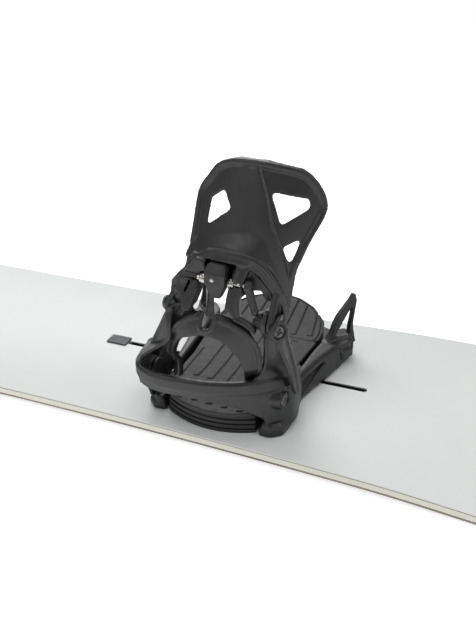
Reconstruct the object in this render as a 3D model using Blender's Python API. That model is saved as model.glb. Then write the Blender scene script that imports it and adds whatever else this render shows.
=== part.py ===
"""A snowboard with two strapless step-in bindings, each fixed on a channel in the deck.

The frame: +X along the board towards the nose, +Y towards the toe edge, +Z up. The origin is at
the middle of the board, on the surface that the board lies on. Shapes are drawn in millimetres
and scaled to metres when each object is made.

A moulded wall is drawn flat, as outlines with a thickness, then wrapped round its heel curve.
The front binding is drawn in its own frame: +x outwards, +y to the toe, z from the deck. The
rear binding is its mirror image.
"""

from math import ceil, cos, pi, radians, sin, sqrt, tan

import bmesh
import bpy
from mathutils import Matrix, Vector

MM = 0.001
GAP = 0.3                       # left between pieces that touch
FLAT_ENOUGH = radians(2.5)      # faces of a wrapped mesh that meet at less are made one

# The board
LENGTH = 1550.0
WAIST = 253.0
SIDECUT_RADIUS = 7600.0
WIDEST_AT = 580.0               # where the tips begin, each side of the middle
CONTACT_RISE = 5.0              # the middle's height over the contact lines
FLAT_TO = 400.0                 # the middle is flat this far each way
TIP_RISE = 48.0
BOARD_THICKNESS = 9.4
BASE_THICKNESS = 1.4
TOPSHEET_THICKNESS = 1.3
EDGE_WIDTH = 2.2
EDGE_THICKNESS = 2.2
SIDEWALL_WIDTH = 5.0
DECK = CONTACT_RISE + BOARD_THICKNESS

# The channels and where each binding stands
STANCE = 514.0
STANCE_ANGLE = 3.0
CHANNEL_START = 106.0
CHANNEL_END = 386.0
CHANNEL_WIDTH = 14.0
SLOT_WIDTH = 5.6
CHANNEL_DEPTH = 5.9
CHANNEL_NUT = 9.4

# The binding
FLOOR_TOP = 7.0
FOOTBED_TOP = 24.5
SEAM_Y = 40.0
RAIL_TOP = 27.0
DISC_RADIUS = 34.5
HOOP_WALL = 4.6
HOOP_TOP = 60.0
PIVOT_Y = -101.0
PIVOT_Z = 120.0
CATCH_Y = -104.0
CATCH_Z = 153.0
OUTER_TOWER = 50.0              # each tower's inner face, at its pivot
INNER_TOWER = 33.5
LEVER_INSIDE = 61.9
BACK_WALL = 4.5
SCREW_Y = -90.0                 # the hoop's screws
SCREW_Z = 36.0
OUTER_SEAT = 66.6
INNER_SEAT = 72.6


# ---------------------------------------------------------------- meshes

def ease(value):
    value = min(max(value, 0.0), 1.0)
    return value * value * (3 - 2 * value)


def rounded(points, radius, steps=2):
    """A closed outline with its corners turned into curves."""
    result = []
    for index, point in enumerate(points):
        corner = Vector(point)
        back = Vector(points[index - 1]) - corner
        ahead = Vector(points[(index + 1) % len(points)]) - corner
        angle = back.angle(ahead)
        if angle > radians(165):
            result.append(tuple(corner))
            continue
        reach = min(radius / tan(angle / 2), 0.45 * back.length, 0.45 * ahead.length)
        start = corner + back.normalized() * reach
        end = corner + ahead.normalized() * reach
        for step in range(steps + 1):
            t = step / steps
            result.append(tuple(start * (1 - t) ** 2 + corner * 2 * t * (1 - t) + end * t ** 2))
    return result


def circle(x, y, radius, count=16):
    return [(x + radius * cos(2 * pi * i / count), y + radius * sin(2 * pi * i / count))
            for i in range(count)]


def mirrored(points):
    """The right half of an outline, from its rear middle to its front, with the left half."""
    left = [(-x, y) for x, y in reversed(points) if x > 0.01]
    return points + left


def mesh_of(thing):
    """The evaluated mesh of an object, which is then removed."""
    bpy.context.view_layer.update()
    graph = bpy.context.evaluated_depsgraph_get()
    mesh = bpy.data.meshes.new_from_object(thing.evaluated_get(graph))
    mesh.transform(thing.matrix_world)
    data = thing.data
    bpy.data.objects.remove(thing)
    if isinstance(data, bpy.types.Curve):
        bpy.data.curves.remove(data)
    return mesh


def cleaned(mesh, within=0.0005):
    """The mesh with a curve's loose caps, or a Boolean's slivers, welded."""
    work = bmesh.new()
    work.from_mesh(mesh)
    bmesh.ops.remove_doubles(work, verts=work.verts, dist=within)
    bmesh.ops.dissolve_degenerate(work, edges=work.edges, dist=within)
    bmesh.ops.recalc_face_normals(work, faces=work.faces)
    work.to_mesh(mesh)
    work.free()
    return mesh


def slab(loops, low, high):
    """A flat outline with its holes, as thick as from low to high."""
    curve = bpy.data.curves.new("outline", "CURVE")
    curve.dimensions = "2D"
    curve.fill_mode = "BOTH"
    curve.extrude = (high - low) / 2
    for loop in loops:
        spline = curve.splines.new("POLY")
        spline.points.add(len(loop) - 1)
        for point, (x, y) in zip(spline.points, loop):
            point.co = (x, y, 0, 1)
        spline.use_cyclic_u = True
    thing = bpy.data.objects.new("outline", curve)
    bpy.context.scene.collection.objects.link(thing)
    thing.location.z = (high + low) / 2
    return cleaned(mesh_of(thing))


def rod(start, end, radius, sides=20):
    """A cylinder between two points."""
    start = Vector(start)
    end = Vector(end)
    run = end - start
    place = Matrix.Translation((start + end) / 2) @ run.to_track_quat("Z", "Y").to_matrix().to_4x4()
    work = bmesh.new()
    bmesh.ops.create_cone(work, cap_ends=True, segments=sides, radius1=radius, radius2=radius,
                          depth=run.length, matrix=place)
    mesh = bpy.data.meshes.new("rod")
    work.to_mesh(mesh)
    work.free()
    return mesh


def block(low, high):
    """A box from its lowest to its highest corner."""
    low = Vector(low)
    high = Vector(high)
    size = high - low
    work = bmesh.new()
    place = Matrix.Translation((low + high) / 2) @ Matrix.Diagonal((*size, 1))
    bmesh.ops.create_cube(work, size=1, matrix=place)
    mesh = bpy.data.meshes.new("block")
    work.to_mesh(mesh)
    work.free()
    return mesh


def combined(mesh, others, operation):
    """The mesh joined with, or cut by, each of the others."""
    base = bpy.data.objects.new("base", mesh)
    bpy.context.scene.collection.objects.link(base)
    tools = []
    for other in others:
        tool = bpy.data.objects.new("tool", other)
        cutters.objects.link(tool)
        tool.hide_render = True
        tool.display_type = "WIRE"
        modifier = base.modifiers.new("combine", "BOOLEAN")
        modifier.operation = operation
        modifier.solver = "EXACT"
        modifier.object = tool
        tools.append(tool)
    result = mesh_of(base)
    for tool in tools:
        bpy.data.objects.remove(tool)
    return cleaned(result, 0.01)


def joined(mesh, *others):
    return combined(mesh, others, "UNION")


def cut(mesh, *others):
    return combined(mesh, others, "DIFFERENCE")


def sliced(mesh, axis, step):
    """The mesh with its faces split at every step along an axis, so that it can be bent."""
    work = bmesh.new()
    work.from_mesh(mesh)
    bmesh.ops.triangulate(work, faces=work.faces)
    places = [vertex.co[axis] for vertex in work.verts]
    normal = Vector((0, 0, 0))
    normal[axis] = 1
    at = ceil((min(places) - step / 3) / step) * step + step / 3
    while at < max(places):
        everything = work.verts[:] + work.edges[:] + work.faces[:]
        bmesh.ops.bisect_plane(work, geom=everything, dist=0.1, plane_co=normal * at,
                               plane_no=normal)
        at += step
    bmesh.ops.triangulate(work, faces=work.faces)
    work.to_mesh(mesh)
    work.free()
    return mesh


def strip(left, right, low, high, closed=False):
    """A loft through square sections: from each left point to its right point, low to high."""
    work = bmesh.new()
    rows = []
    for (x0, y0), (x1, y1) in zip(left, right):
        corners = [(x0, y0, low), (x1, y1, low), (x1, y1, high), (x0, y0, high)]
        rows.append([work.verts.new(corner) for corner in corners])
    pairs = list(zip(rows, rows[1:]))
    if closed:
        pairs.append((rows[-1], rows[0]))
    else:
        work.faces.new(rows[0])
        work.faces.new(rows[-1])
    for row, ahead in pairs:
        for i in range(4):
            j = (i + 1) % 4
            work.faces.new((row[i], row[j], ahead[j], ahead[i]))
    bmesh.ops.recalc_face_normals(work, faces=work.faces)
    mesh = bpy.data.meshes.new("strip")
    work.to_mesh(mesh)
    work.free()
    return mesh


def wrapped(mesh, place):
    """The flat mesh with each point moved by a function of its three numbers."""
    for vertex in mesh.vertices:
        vertex.co = place(*vertex.co)
    work = bmesh.new()
    work.from_mesh(mesh)
    bmesh.ops.recalc_face_normals(work, faces=work.faces)
    work.to_mesh(mesh)
    work.free()
    return mesh


def thinned(mesh):
    """The mesh with its nearly flat neighbouring faces made one."""
    work = bmesh.new()
    work.from_mesh(mesh)
    bmesh.ops.dissolve_limit(work, verts=work.verts, edges=work.edges, angle_limit=FLAT_ENOUGH)
    bmesh.ops.triangulate(work, faces=work.faces)
    work.to_mesh(mesh)
    work.free()
    return mesh


# ---------------------------------------------------------------- objects

def material(name, colour, roughness, metallic=0.0):
    made = bpy.data.materials.new(name)
    made.use_nodes = True
    shader = made.node_tree.nodes["Principled BSDF"]
    shader.inputs["Base Color"].default_value = (*colour, 1)
    shader.inputs["Roughness"].default_value = roughness
    shader.inputs["Metallic"].default_value = metallic
    return made


def add(name, mesh, finish, parent=None, smooth=30):
    """Make a sub-part from a mesh in millimetres, drawn in the frame of the binding or board."""
    mesh.name = name
    mesh.transform(Matrix.Scale(MM, 4))
    mesh.materials.clear()
    mesh.materials.append(finish.copy())
    mesh.materials[0].name = name
    mesh.shade_smooth()
    mesh.set_sharp_from_angle(angle=radians(smooth))
    thing = bpy.data.objects.new(name, mesh)
    parts.objects.link(thing)
    if parent:
        thing.parent = parent
        thing.location = -Vector(parent.get("drawn_at", (0, 0, 0)))
    return thing


def axle_empty(name, parent, y, z):
    """An empty on a joint's axis, which carries the pieces that turn on it."""
    empty = bpy.data.objects.new(name, None)
    parts.objects.link(empty)
    empty.parent = parent
    offset = Vector((0, y * MM, z * MM)) - Vector(parent.get("drawn_at", (0, 0, 0)))
    empty.location = offset
    empty["drawn_at"] = (0, y * MM, z * MM)
    return empty


# ---------------------------------------------------------------- the board

def half_width(x):
    """Half the board's width at a place along it."""
    across = abs(x)
    sidecut = WAIST / 2 + min(across, WIDEST_AT) ** 2 / (2 * SIDECUT_RADIUS)
    if across <= WIDEST_AT:
        return sidecut
    tip = (across - WIDEST_AT) / (LENGTH / 2 - WIDEST_AT)
    return sidecut * sqrt(max(1 - tip ** 2.3, 0))


def base_height(x):
    """The height of the running base: a low arch between the contact lines, and raised tips."""
    across = abs(x)
    if across > WIDEST_AT:
        return TIP_RISE * ((across - WIDEST_AT) / (LENGTH / 2 - WIDEST_AT)) ** 2
    return CONTACT_RISE * (1 - ease((across - FLAT_TO) / (WIDEST_AT - FLAT_TO)))


def on_board(x, y, up):
    return x, y, base_height(x) + up


def stations():
    """Places along the board, closer together where it bends and round the tips."""
    flat = [FLAT_TO * i / 4 for i in range(4)]
    bend = [FLAT_TO + (WIDEST_AT - FLAT_TO) * i / 6 for i in range(7)]
    tip = [WIDEST_AT + (LENGTH / 2 - WIDEST_AT) * sin(pi / 2 * i / 10) for i in range(1, 11)]
    right = flat + bend + tip
    return [-x for x in reversed(right[1:])] + right


def toe_side(inset):
    """The toe side of the board's outline in plan, moved in from its edge."""
    scale = (LENGTH / 2 - inset) / (LENGTH / 2)
    return [(x * scale, max(half_width(x) - inset, 0.6)) for x in stations()]


def whole_layer(inset, low, high):
    """A layer as wide as the board, moved in from its edge."""
    toe = toe_side(inset)
    return strip(toe, [(x, -y) for x, y in toe], low, high)


def outline(inset):
    toe = toe_side(inset)
    return toe + [(x, -y) for x, y in reversed(toe)]


def edge_strip(side, low, high):
    """The sidewall along one long edge."""
    places = [x for x in stations() if abs(x) <= WIDEST_AT + 0.1]
    outside = [(x, side * half_width(x)) for x in places]
    inside = [(x, side * (half_width(x) - SIDEWALL_WIDTH)) for x in places]
    return strip(outside, inside, low, high)


def tip_strip(end, low, high):
    """The spacer round one tip, between the two sidewalls."""
    start = WIDEST_AT + GAP

    def bow(inset):
        half = [(max(x, start), y) for x, y in toe_side(inset) if x > WIDEST_AT - 6]
        return [(end * x, y) for x, y in half] + [(end * x, -y) for x, y in reversed(half)]

    return strip(bow(0), bow(SIDEWALL_WIDTH), low, high)


def channel_span(end):
    return sorted((end * CHANNEL_START, end * CHANNEL_END))


def pocket(end, half, extra, low, high):
    """The slot over one channel, with round ends, as a solid to cut with."""
    start, stop = channel_span(end)
    start -= extra
    stop += extra
    corners = [(start, -half), (stop, -half), (stop, half), (start, half)]
    return slab([rounded(corners, half, 3)], low, high)


def board_part(name, mesh, finish):
    return add(name, wrapped(mesh, on_board), finish)


def build_board():
    white = material("deck", (0.80, 0.83, 0.80), 0.35)
    beige = material("sidewall", (0.62, 0.58, 0.52), 0.5)
    steel = material("edge", (0.32, 0.29, 0.27), 0.35, 1.0)
    wood = material("core", (0.55, 0.38, 0.20), 0.6)
    black = material("channel", (0.03, 0.03, 0.035), 0.45)
    base = material("base", (0.06, 0.06, 0.07), 0.4)
    slate = material("plug", (0.06, 0.07, 0.08), 0.55)
    core_top = BOARD_THICKNESS - TOPSHEET_THICKNESS - GAP
    core_low = BASE_THICKNESS + GAP
    wall_low = EDGE_THICKNESS + GAP

    board_part("base_sheet", whole_layer(EDGE_WIDTH + GAP, 0, BASE_THICKNESS), base)
    rim = strip(outline(0), outline(EDGE_WIDTH), 0, EDGE_THICKNESS, closed=True)
    board_part("steel_edge", rim, steel)
    half = CHANNEL_WIDTH / 2 + GAP
    floor = core_top - CHANNEL_DEPTH
    pockets = [pocket(end, half, GAP, floor - GAP, core_top + 5) for end in (-1, 1)]
    core = whole_layer(SIDEWALL_WIDTH + GAP, core_low, core_top)
    board_part("wood_core", cut(core, *pockets), wood)
    for side, edge in ((1, "toe"), (-1, "heel")):
        board_part(f"sidewall_{edge}", edge_strip(side, wall_low, core_top), beige)
    for end, tip in ((1, "nose"), (-1, "tail")):
        board_part(f"tip_spacer_{tip}", tip_strip(end, wall_low, core_top), beige)
    slots = [pocket(end, SLOT_WIDTH / 2 + 0.7, -2.0, 0, 20) for end in (-1, 1)]
    top = whole_layer(0.5, core_top + GAP, BOARD_THICKNESS)
    board_part("topsheet", cut(top, *slots), white)

    for end, name in ((1, "front"), (-1, "rear")):
        low, high = channel_span(end)
        body = pocket(end, CHANNEL_WIDTH / 2, 0, floor, core_top)
        half = SLOT_WIDTH / 2
        mouth = block((low + 5, -half, floor + 1.5), (high - 5, half, core_top + 1))
        undercut = block((low + 5, -CHANNEL_NUT / 2 - 0.6, floor + 1.2),
                         (high - 5, CHANNEL_NUT / 2 + 0.6, floor + 4.2))
        body = cut(body, mouth, undercut)
        add(f"channel_{name}", wrapped(body, on_board), black)
        middle = end * (CHANNEL_START - 10)
        cap = rounded([(middle - 12.4, -8.9), (middle + 12.4, -8.9),
                       (middle + 12.4, 8.9), (middle - 12.4, 8.9)], 2.0)
        plug = slab([cap], BOARD_THICKNESS + GAP, BOARD_THICKNESS + 1.9)
        add(f"channel_plug_{name}", wrapped(plug, on_board), slate)


# ---------------------------------------------------------------- curves of the binding

def smooth_line(points, steps=6):
    """Points on a curve through the given ones."""
    last = len(points) - 1
    result = []
    for i in range(last):
        a, b, c, d = (Vector(points[min(max(i + k, 0), last)]) for k in (-1, 0, 1, 2))
        for step in range(steps):
            t = step / steps
            bend = (2 * a - 5 * b + 4 * c - d) * t ** 2 + (3 * b - a - 3 * c + d) * t ** 3
            result.append(tuple(b + ((c - a) * t + bend) / 2))
    result.append(tuple(points[last]))
    return result


# The inside of the heel hoop at its lip, from its rear middle to the front end of each side
HOOP_OUTER = smooth_line([(0, -122.4), (8, -120.1), (26.2, -113.2), (38.8, -105.5),
                          (51.8, -94.8), (61, -84.6), (65.2, -75.5), (67.5, -60), (67.5, -42),
                          (67.5, -25)])
HOOP_INNER = smooth_line([(0, -122.4), (-18, -125.3), (-35, -127), (-50.5, -126), (-62, -120.5),
                          (-68, -112.5), (-70.5, -103), (-71.8, -90), (-71.5, -70), (-69, -45),
                          (-67.5, -25)])


def along_hoop(distance):
    """The point and outward direction at a distance along the hoop, outer half positive."""
    points = HOOP_OUTER if distance >= 0 else HOOP_INNER
    side = 1 if distance >= 0 else -1
    gone = 0.0
    for start, end in zip(points, points[1:]):
        step = sqrt((end[0] - start[0]) ** 2 + (end[1] - start[1]) ** 2)
        if gone + step >= abs(distance) or end == points[-1]:
            part = (abs(distance) - gone) / step
            x = start[0] + (end[0] - start[0]) * part
            y = start[1] + (end[1] - start[1]) * part
            return x, y, side * (end[1] - start[1]) / step, -side * (end[0] - start[0]) / step
        gone += step
    return None


def hoop_distance(side, y):
    """How far along one half of the hoop its inside reaches a place from heel to toe."""
    points = HOOP_OUTER if side > 0 else HOOP_INNER
    gone = 0.0
    lowest = min(range(len(points)), key=lambda i: points[i][1])
    for index, (start, end) in enumerate(zip(points, points[1:])):
        if end[1] >= y and index >= lowest:
            return side * gone
        gone += sqrt((end[0] - start[0]) ** 2 + (end[1] - start[1]) ** 2)
    return side * gone


def hoop_flare(distance, z):
    """How far the wall leans out, or in, below its lip."""
    if distance > 0:
        reach = 7 * ease((distance - 25) / 30) * ease((112 - distance) / 35)
    else:
        reach = -6 * ease((-distance - 62) / 25) * ease((140 + distance) / 30)
    return reach * max(58 - z, 0) / 44


def on_hoop(distance, z, out):
    """A point of the hoop. Above it, each tower flattens into an upright plate at its pivot."""
    side = 1 if distance >= 0 else -1
    x, y, out_x, out_y = along_hoop(distance)
    out += hoop_flare(distance, z)
    plate = OUTER_TOWER if side > 0 else -INNER_TOWER
    flat = ease((z - 60) / (22 if side > 0 else 50))
    x = (x + out * out_x) * (1 - flat) + (plate + side * out) * flat
    y += out * out_y * (1 - flat)
    return x, y, z


def back_rear(z):
    """How far back the highback's outer middle is, at a height."""
    if z > 114:
        return -118 + 0.34 * (z - 104)
    return -118 + 0.34 * max(z - 94, 0) ** 2 / 40


def on_back(across, z, out):
    """A point of the highback or heel cup: a lean cone, canted outwards towards its top."""
    radius = 68 + 26 * min(max((z - 60) / 190, 0), 1)
    turn = across / radius
    cant = 29 * ease((z - 85) / 150)
    x = cant + (radius + out) * sin(turn)
    y = back_rear(z) + radius - (radius + out) * cos(turn)
    return x, y, z


# ---------------------------------------------------------------- the binding

def floor_outline():
    right = [(48.3, -92), (48.3, -107), (60, -108), (70, -100), (70, -66), (67, -42),
             (73, -10), (81, 20), (89, 40), (94, 62), (82, 86), (60, 103), (30, 113), (0, 116)]
    return mirrored(right)


def rail_outline(side):
    points = [(57.5, -58), (64.3, -58), (64.3, -41), (69, -39), (73, -10), (81, 20), (87, 38.5),
              (65, 38.5), (62.5, 15), (60.5, -15), (58.5, -42)]
    return [(side * x, y) for x, y in points]


def build_baseplate(prefix, parent, finish):
    mesh = slab([floor_outline(), circle(0, 0, DISC_RADIUS + 1, 28)], GAP, FLOOR_TOP)
    for side in (1, -1):
        rail = slab([rail_outline(side)], 3, RAIL_TOP)
        wide = 75 if side > 0 else 70
        foot = slab([[(side * 49, -106), (side * (wide - 9), -105), (side * wide, -94),
                      (side * wide, -60), (side * 59, -60), (side * 49, -88)]], 3, 13)
        mesh = joined(mesh, rail, foot)
    add(f"{prefix}_baseplate", mesh, finish, parent)


def build_mounting(prefix, parent, plastic, steel):
    """The disc in the baseplate, and the screws that draw it down onto nuts in the channel."""
    disc = rod((0, 0, 1.0), (0, 0, 6.5), DISC_RADIUS, 28)
    holes = [rod((x, 0, -2), (x, 0, 10), 3.4, 12) for x in (-20, 20)]
    add(f"{prefix}_mounting_disc", cut(disc, *holes), plastic, parent)
    nut_top = -TOPSHEET_THICKNESS - 2 * GAP - 2.1
    for x, place in ((-20, "inner"), (20, "outer")):
        head = rod((x, 0, 6.8), (x, 0, 9.4), 6.0, 16)
        shank = rod((x, 0, nut_top - 1.5), (x, 0, 8), 2.5, 12)
        add(f"{prefix}_disc_screw_{place}", joined(head, shank), steel, parent)
        half = CHANNEL_NUT / 2
        nut = block((x - half, -half, nut_top - 2), (x + half, half, nut_top))
        bore = rod((x, 0, nut_top - 5), (x, 0, nut_top + 5), 2.9, 12)
        add(f"{prefix}_channel_nut_{place}", cut(nut, bore), steel, parent)


def build_footbed(prefix, parent, finish):
    right = [(0, -121), (26, -117), (43, -107), (50, -92), (53, -60), (53.5, -30), (56.5, -5),
             (58.5, 18), (61, SEAM_Y - GAP)]
    upper = slab([mirrored(right)], FOOTBED_TOP - 4, FOOTBED_TOP)
    legs = [(44, -91.5), (51, -60), (52, -30), (55, -5), (57, 18), (59, SEAM_Y - GAP - 1)]
    lower = slab([mirrored(legs)], FLOOR_TOP + GAP, FOOTBED_TOP - 2)
    hollow = rod((0, 0, 0), (0, 0, 11), DISC_RADIUS + 2, 24)
    add(f"{prefix}_footbed", cut(joined(upper, lower), hollow), finish, parent)


def on_toe_ramp(x, y, up):
    """The toe pad rises towards its front."""
    rise = 10.5 * ease((y - SEAM_Y) / 75)
    full = FOOTBED_TOP - FLOOR_TOP - GAP
    return x, y, FLOOR_TOP + GAP + up * (full + rise) / full


def build_toe_pad(prefix, parent, finish):
    right = [(61.5, SEAM_Y), (61.5, 60), (58, 78), (39, 100), (18, 113), (0, 117)]
    outline = rounded(mirrored(right), 12)
    mesh = sliced(slab([outline], 0, FOOTBED_TOP - FLOOR_TOP - GAP), 1, 12.0)
    add(f"{prefix}_toe_pad", wrapped(mesh, on_toe_ramp), finish, parent)


def build_heel_bumper(prefix, parent, finish):
    rear = []
    for step in range(13):
        x = -46 + 92 * step / 12
        rear.append((x, -117.5 + 13 * (x / 46) ** 2))
    outline = rear + [(46, -92.8), (-46, -92.8)]
    add(f"{prefix}_heel_bumper", slab([outline], GAP, FOOTBED_TOP - 4.4), finish, parent)


def on_fin(origin, along, up, across):
    """Places the drawing of a toe hook's fin in the binding's frame."""
    def place(x, y, z):
        return tuple(origin + along * x + up * y + across * z)
    return place


def build_toe_hook(prefix, parent, side, place, finish):
    plan = [(64, SEAM_Y), (88, SEAM_Y), (96, 56), (91, 76), (78, 83), (67, 68)]
    base = slab([rounded([(side * x, y) for x, y in plan], 5)], FLOOR_TOP + GAP, 25)
    foot = Vector((side * 69, 45, 20))
    heel = Vector((side * 92, 69, 18))
    apex = Vector((side * 86, 80, 71))
    along = (heel - foot).normalized()
    up = (apex - foot) - along * (apex - foot).dot(along)
    height = up.length
    up.normalize()
    across = along.cross(up)
    run = (heel - foot).length
    lean = (apex - foot).dot(along)
    outer = [(-1, 0), (run + 3, 0), (lean + 4.5, height), (lean - 2, height - 2)]
    inner = [(9, 8), (run - 5, 8), (lean - 1, height - 13)]
    fin = slab([rounded(outer, 4), rounded(inner, 2)], -3.5, 3.5)
    fin = wrapped(fin, on_fin(foot, along, up, across))
    add(f"{prefix}_toe_hook_{place}", joined(base, fin), finish, parent)


def hoop_outline():
    """The hoop with its side panels and pivot towers, laid flat: distance along it, height."""
    outer = [(-97, 21), (-94, 14), (-42, 14), (-42, 27), (-54, 42), (-66, 56), (-80, 92),
             (-87, 112), (-91, 124), (-97, 130.5), (-105, 130.5), (-110, 124), (-109, 114),
             (-100, 104), (-100, 66), (-104, 58)]
    inner = [(-113, 37), (-107, 27), (-100, 14), (-42, 14), (-42, 27), (-52, 42), (-60, 56),
             (-72, 92), (-82, 112), (-93, 124), (-99, 129), (-105, 128), (-110, 119),
             (-115, 108), (-117, 84), (-118, 58)]
    right = [(hoop_distance(1, y), z) for y, z in outer]
    left = [(hoop_distance(-1, y), z) for y, z in inner]
    return [(0, 39.5), (20, 35), (36, 30)] + right + left[::-1] + [(-60, 40.5), (-14, 40)]


def build_hoop(prefix, parent, finish):
    wall = slab([hoop_outline()], 0, HOOP_WALL)
    right = hoop_distance(1, -58)
    left = hoop_distance(-1, -62)
    lip = slab([[(left, 47), (right, 47), (right, HOOP_TOP - 2), (right - 8, HOOP_TOP),
                 (left + 8, HOOP_TOP), (left, HOOP_TOP - 2)]], 1.2, 6.2)
    mesh = thinned(wrapped(sliced(sliced(joined(wall, lip), 0, 10.0), 1, 24.0), on_hoop))
    bores = [rod((25, PIVOT_Y, PIVOT_Z), (90, PIVOT_Y, PIVOT_Z), 3.8, 16),
             rod((-25, PIVOT_Y, PIVOT_Z), (-60, PIVOT_Y, PIVOT_Z), 3.8, 16)]
    for side, seat in ((1, OUTER_SEAT), (-1, INNER_SEAT)):
        bores.append(rod((side * 40, SCREW_Y, SCREW_Z), (side * 90, SCREW_Y, SCREW_Z), 3.4, 16))
        bores.append(rod((side * (seat - GAP), SCREW_Y, SCREW_Z), (side * 95, SCREW_Y, SCREW_Z),
                         7.6, 20))
    add(f"{prefix}_heel_hoop", cut(mesh, *bores), finish, parent)


def on_cup(across, z, out):
    """A point of the heel cup, which steps inwards to pass inside the hoop's lip."""
    return on_back(across, z, out - 8 * ease((74 - z) / 16))


def build_heel_cup(prefix, parent, finish):
    """The arch inside the hoop that holds the boot's heel, notched for the catch."""
    outer = [(49, 42), (49, 63), (46, 76), (46, 91), (42, 104), (35, 114), (22, 122), (5, 126.5),
             (4.5, 114), (2.5, 110), (-1.5, 108.5), (-5.5, 110), (-7.5, 114), (-8, 126.5),
             (-20, 121), (-30, 112), (-36, 102), (-41, 92), (-44, 82), (-49, 62), (-53, 42)]
    inner = [(-40, 42), (-38, 64), (-34, 80), (-24, 95), (-6, 104), (8, 104.5), (20, 99),
             (31, 86), (38, 68), (40, 42)]
    mesh = sliced(slab([outer + inner], 0, BACK_WALL), 0, 10.0)
    mesh = thinned(wrapped(sliced(mesh, 1, 12.0), on_cup))
    add(f"{prefix}_heel_cup", mesh, finish, parent)


def highback_outline():
    return [(51, 141), (56, 133), (59, 123), (61, 110), (63, 102), (67.5, 105), (67, 122),
            (63, 146), (57, 167), (58, 191), (63, 212), (61, 224), (52, 237),
            (38, 248), (10, 253), (-16, 253), (-34, 247), (-44, 236), (-56, 216), (-47, 177),
            (-42, 156), (-41, 142), (-32, 131), (-20, 129), (-18, 145), (-26, 171), (6, 170),
            (9.5, 145), (14, 131), (24, 129), (20.5, 141), (17.5, 169), (27, 160.5), (45, 145.5)]


def highback_windows():
    return [
        [(-27, 225), (-40, 215), (-37, 193), (-16, 211)],
        [(14, 229), (46, 224), (49, 217), (29, 203)],
        [(50, 192), (37, 185), (50, 168)],
    ]


def build_highback(prefix, parent, finish):
    """The leg support: a canted shell with windows, a thick rim, a spine and a lower frame."""
    windows = [rounded(window, 2.5) for window in highback_windows()]
    shell = slab([rounded(highback_outline(), 5, 1)] + windows, 0, 3.2)
    frame = [(52, 144), (46, 152), (32, 168), (16, 178), (-5, 181), (-24, 178), (-37, 164),
             (-39, 144), (-31, 133), (-21, 131), (-19.5, 145), (-27.5, 172.5), (7.5, 171.5),
             (11, 145), (15, 133), (22, 131), (19, 141), (16, 171), (28, 162), (46.5, 146.5)]
    spine = [(4, 243), (22, 203), (44, 172), (38, 168), (15, 182), (-8, 184), (-12, 205),
             (-10, 240)]
    shell = joined(shell, slab([frame], 1.0, 9.0), slab([spine], 1.2, 6.0))
    shell = thinned(wrapped(sliced(sliced(shell, 0, 16.0), 1, 40.0), on_back))
    outer_lug = lug(OUTER_TOWER + 5.0, LEVER_INSIDE - 0.4, 10.6, (-90, 140))
    inner_lug = lug(-44.0, -INNER_TOWER - 5.0, 9.0, (-98, 141))
    bridge = slab([[(-44, 136), (-44, 149), (-26, 152), (-26, 136)]], -3, 6)
    bridge = wrapped(bridge, lambda x, z, y: (x, y - 103, z))
    shell = joined(shell, outer_lug, inner_lug, bridge)
    bores = [rod((-50, PIVOT_Y, PIVOT_Z), (80, PIVOT_Y, PIVOT_Z), 3.8, 16),
             rod((-30, CATCH_Y, CATCH_Z), (40, CATCH_Y, CATCH_Z), 3.4, 16),
             rod((-13.5, CATCH_Y, CATCH_Z), (23.5, CATCH_Y, CATCH_Z), 6.0, 16)]
    add(f"{prefix}_highback", cut(shell, *bores), finish, parent)


def lug(low, high, radius, top):
    """An ear of the highback on the pivot axis, from x low to high, reaching up to a point."""
    axis = Vector((PIVOT_Y, PIVOT_Z))
    end = Vector(top)
    run = (end - axis).normalized()
    side = Vector((-run.y, run.x))
    outline = []
    for centre, start in ((axis, 0), (end, pi)):
        for step in range(9):
            turn = start + pi * step / 8
            arm = side * cos(turn) - run * sin(turn)
            outline.append(tuple(centre + arm * radius))
    mesh = slab([outline], low, high)
    return wrapped(mesh, lambda y, z, x: (x, y, z))


def build_catch(prefix, parent, plastic, steel):
    """The sprung heel catch on its shaft, and the arm that the release cam pushes."""
    profile = [(9, 0), (8.5, 15.5), (-8.5, 15.5), (-9, 0), (-5, -11), (-3.5, -15),
               (3.5, -15), (5, -11)]
    side_view = [(-8, -2), (-8, 10), (-3, 15.5), (4, 15.5), (7, 8), (6, -4), (1, -15), (-5, -15)]
    middle = 5.5
    front = slab([[(x + middle, z + CATCH_Z) for x, z in profile]], -12, 12)
    front = wrapped(front, lambda x, z, y: (x, y + CATCH_Y, z))
    side = slab([[(y + CATCH_Y, z + CATCH_Z) for y, z in side_view]], -14, 24)
    side = wrapped(side, lambda y, z, x: (x, y, z))
    solid = combined(front, [side], "INTERSECT")
    bore = rod((-20, CATCH_Y, CATCH_Z), (40, CATCH_Y, CATCH_Z), 3.0, 16)
    add(f"{prefix}_heel_catch", cut(solid, bore), plastic, parent)
    shaft = rod((-11.5, CATCH_Y, CATCH_Z), (38, CATCH_Y, CATCH_Z), 2.7, 14)
    collars = [rod((start, CATCH_Y, CATCH_Z), (start + 6, CATCH_Y, CATCH_Z), 4.8, 18)
               for start in (-10.5, 15.0)]
    add(f"{prefix}_catch_shaft", joined(shaft, *collars), steel, parent)


def build_link_arm(prefix, parent, finish):
    boss = rod((33.6, CATCH_Y, CATCH_Z), (39.5, CATCH_Y, CATCH_Z), 5.6, 16)
    arm = rod((36.5, CATCH_Y - 1, CATCH_Z - 2), (43, -106, 132), 3.4, 10)
    bore = rod((20, CATCH_Y, CATCH_Z), (40, CATCH_Y, CATCH_Z), 3.0, 16)
    add(f"{prefix}_link_arm", cut(joined(boss, arm), bore), finish, parent)


def on_lever(y, z, out):
    """The lever steps outwards as it comes down, to pass outside the hoop's lip."""
    step = 3.2 * ease((115 - z) / 8) + 9.4 * ease((110 - z) / 46)
    return LEVER_INSIDE + step + out, y, z


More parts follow.
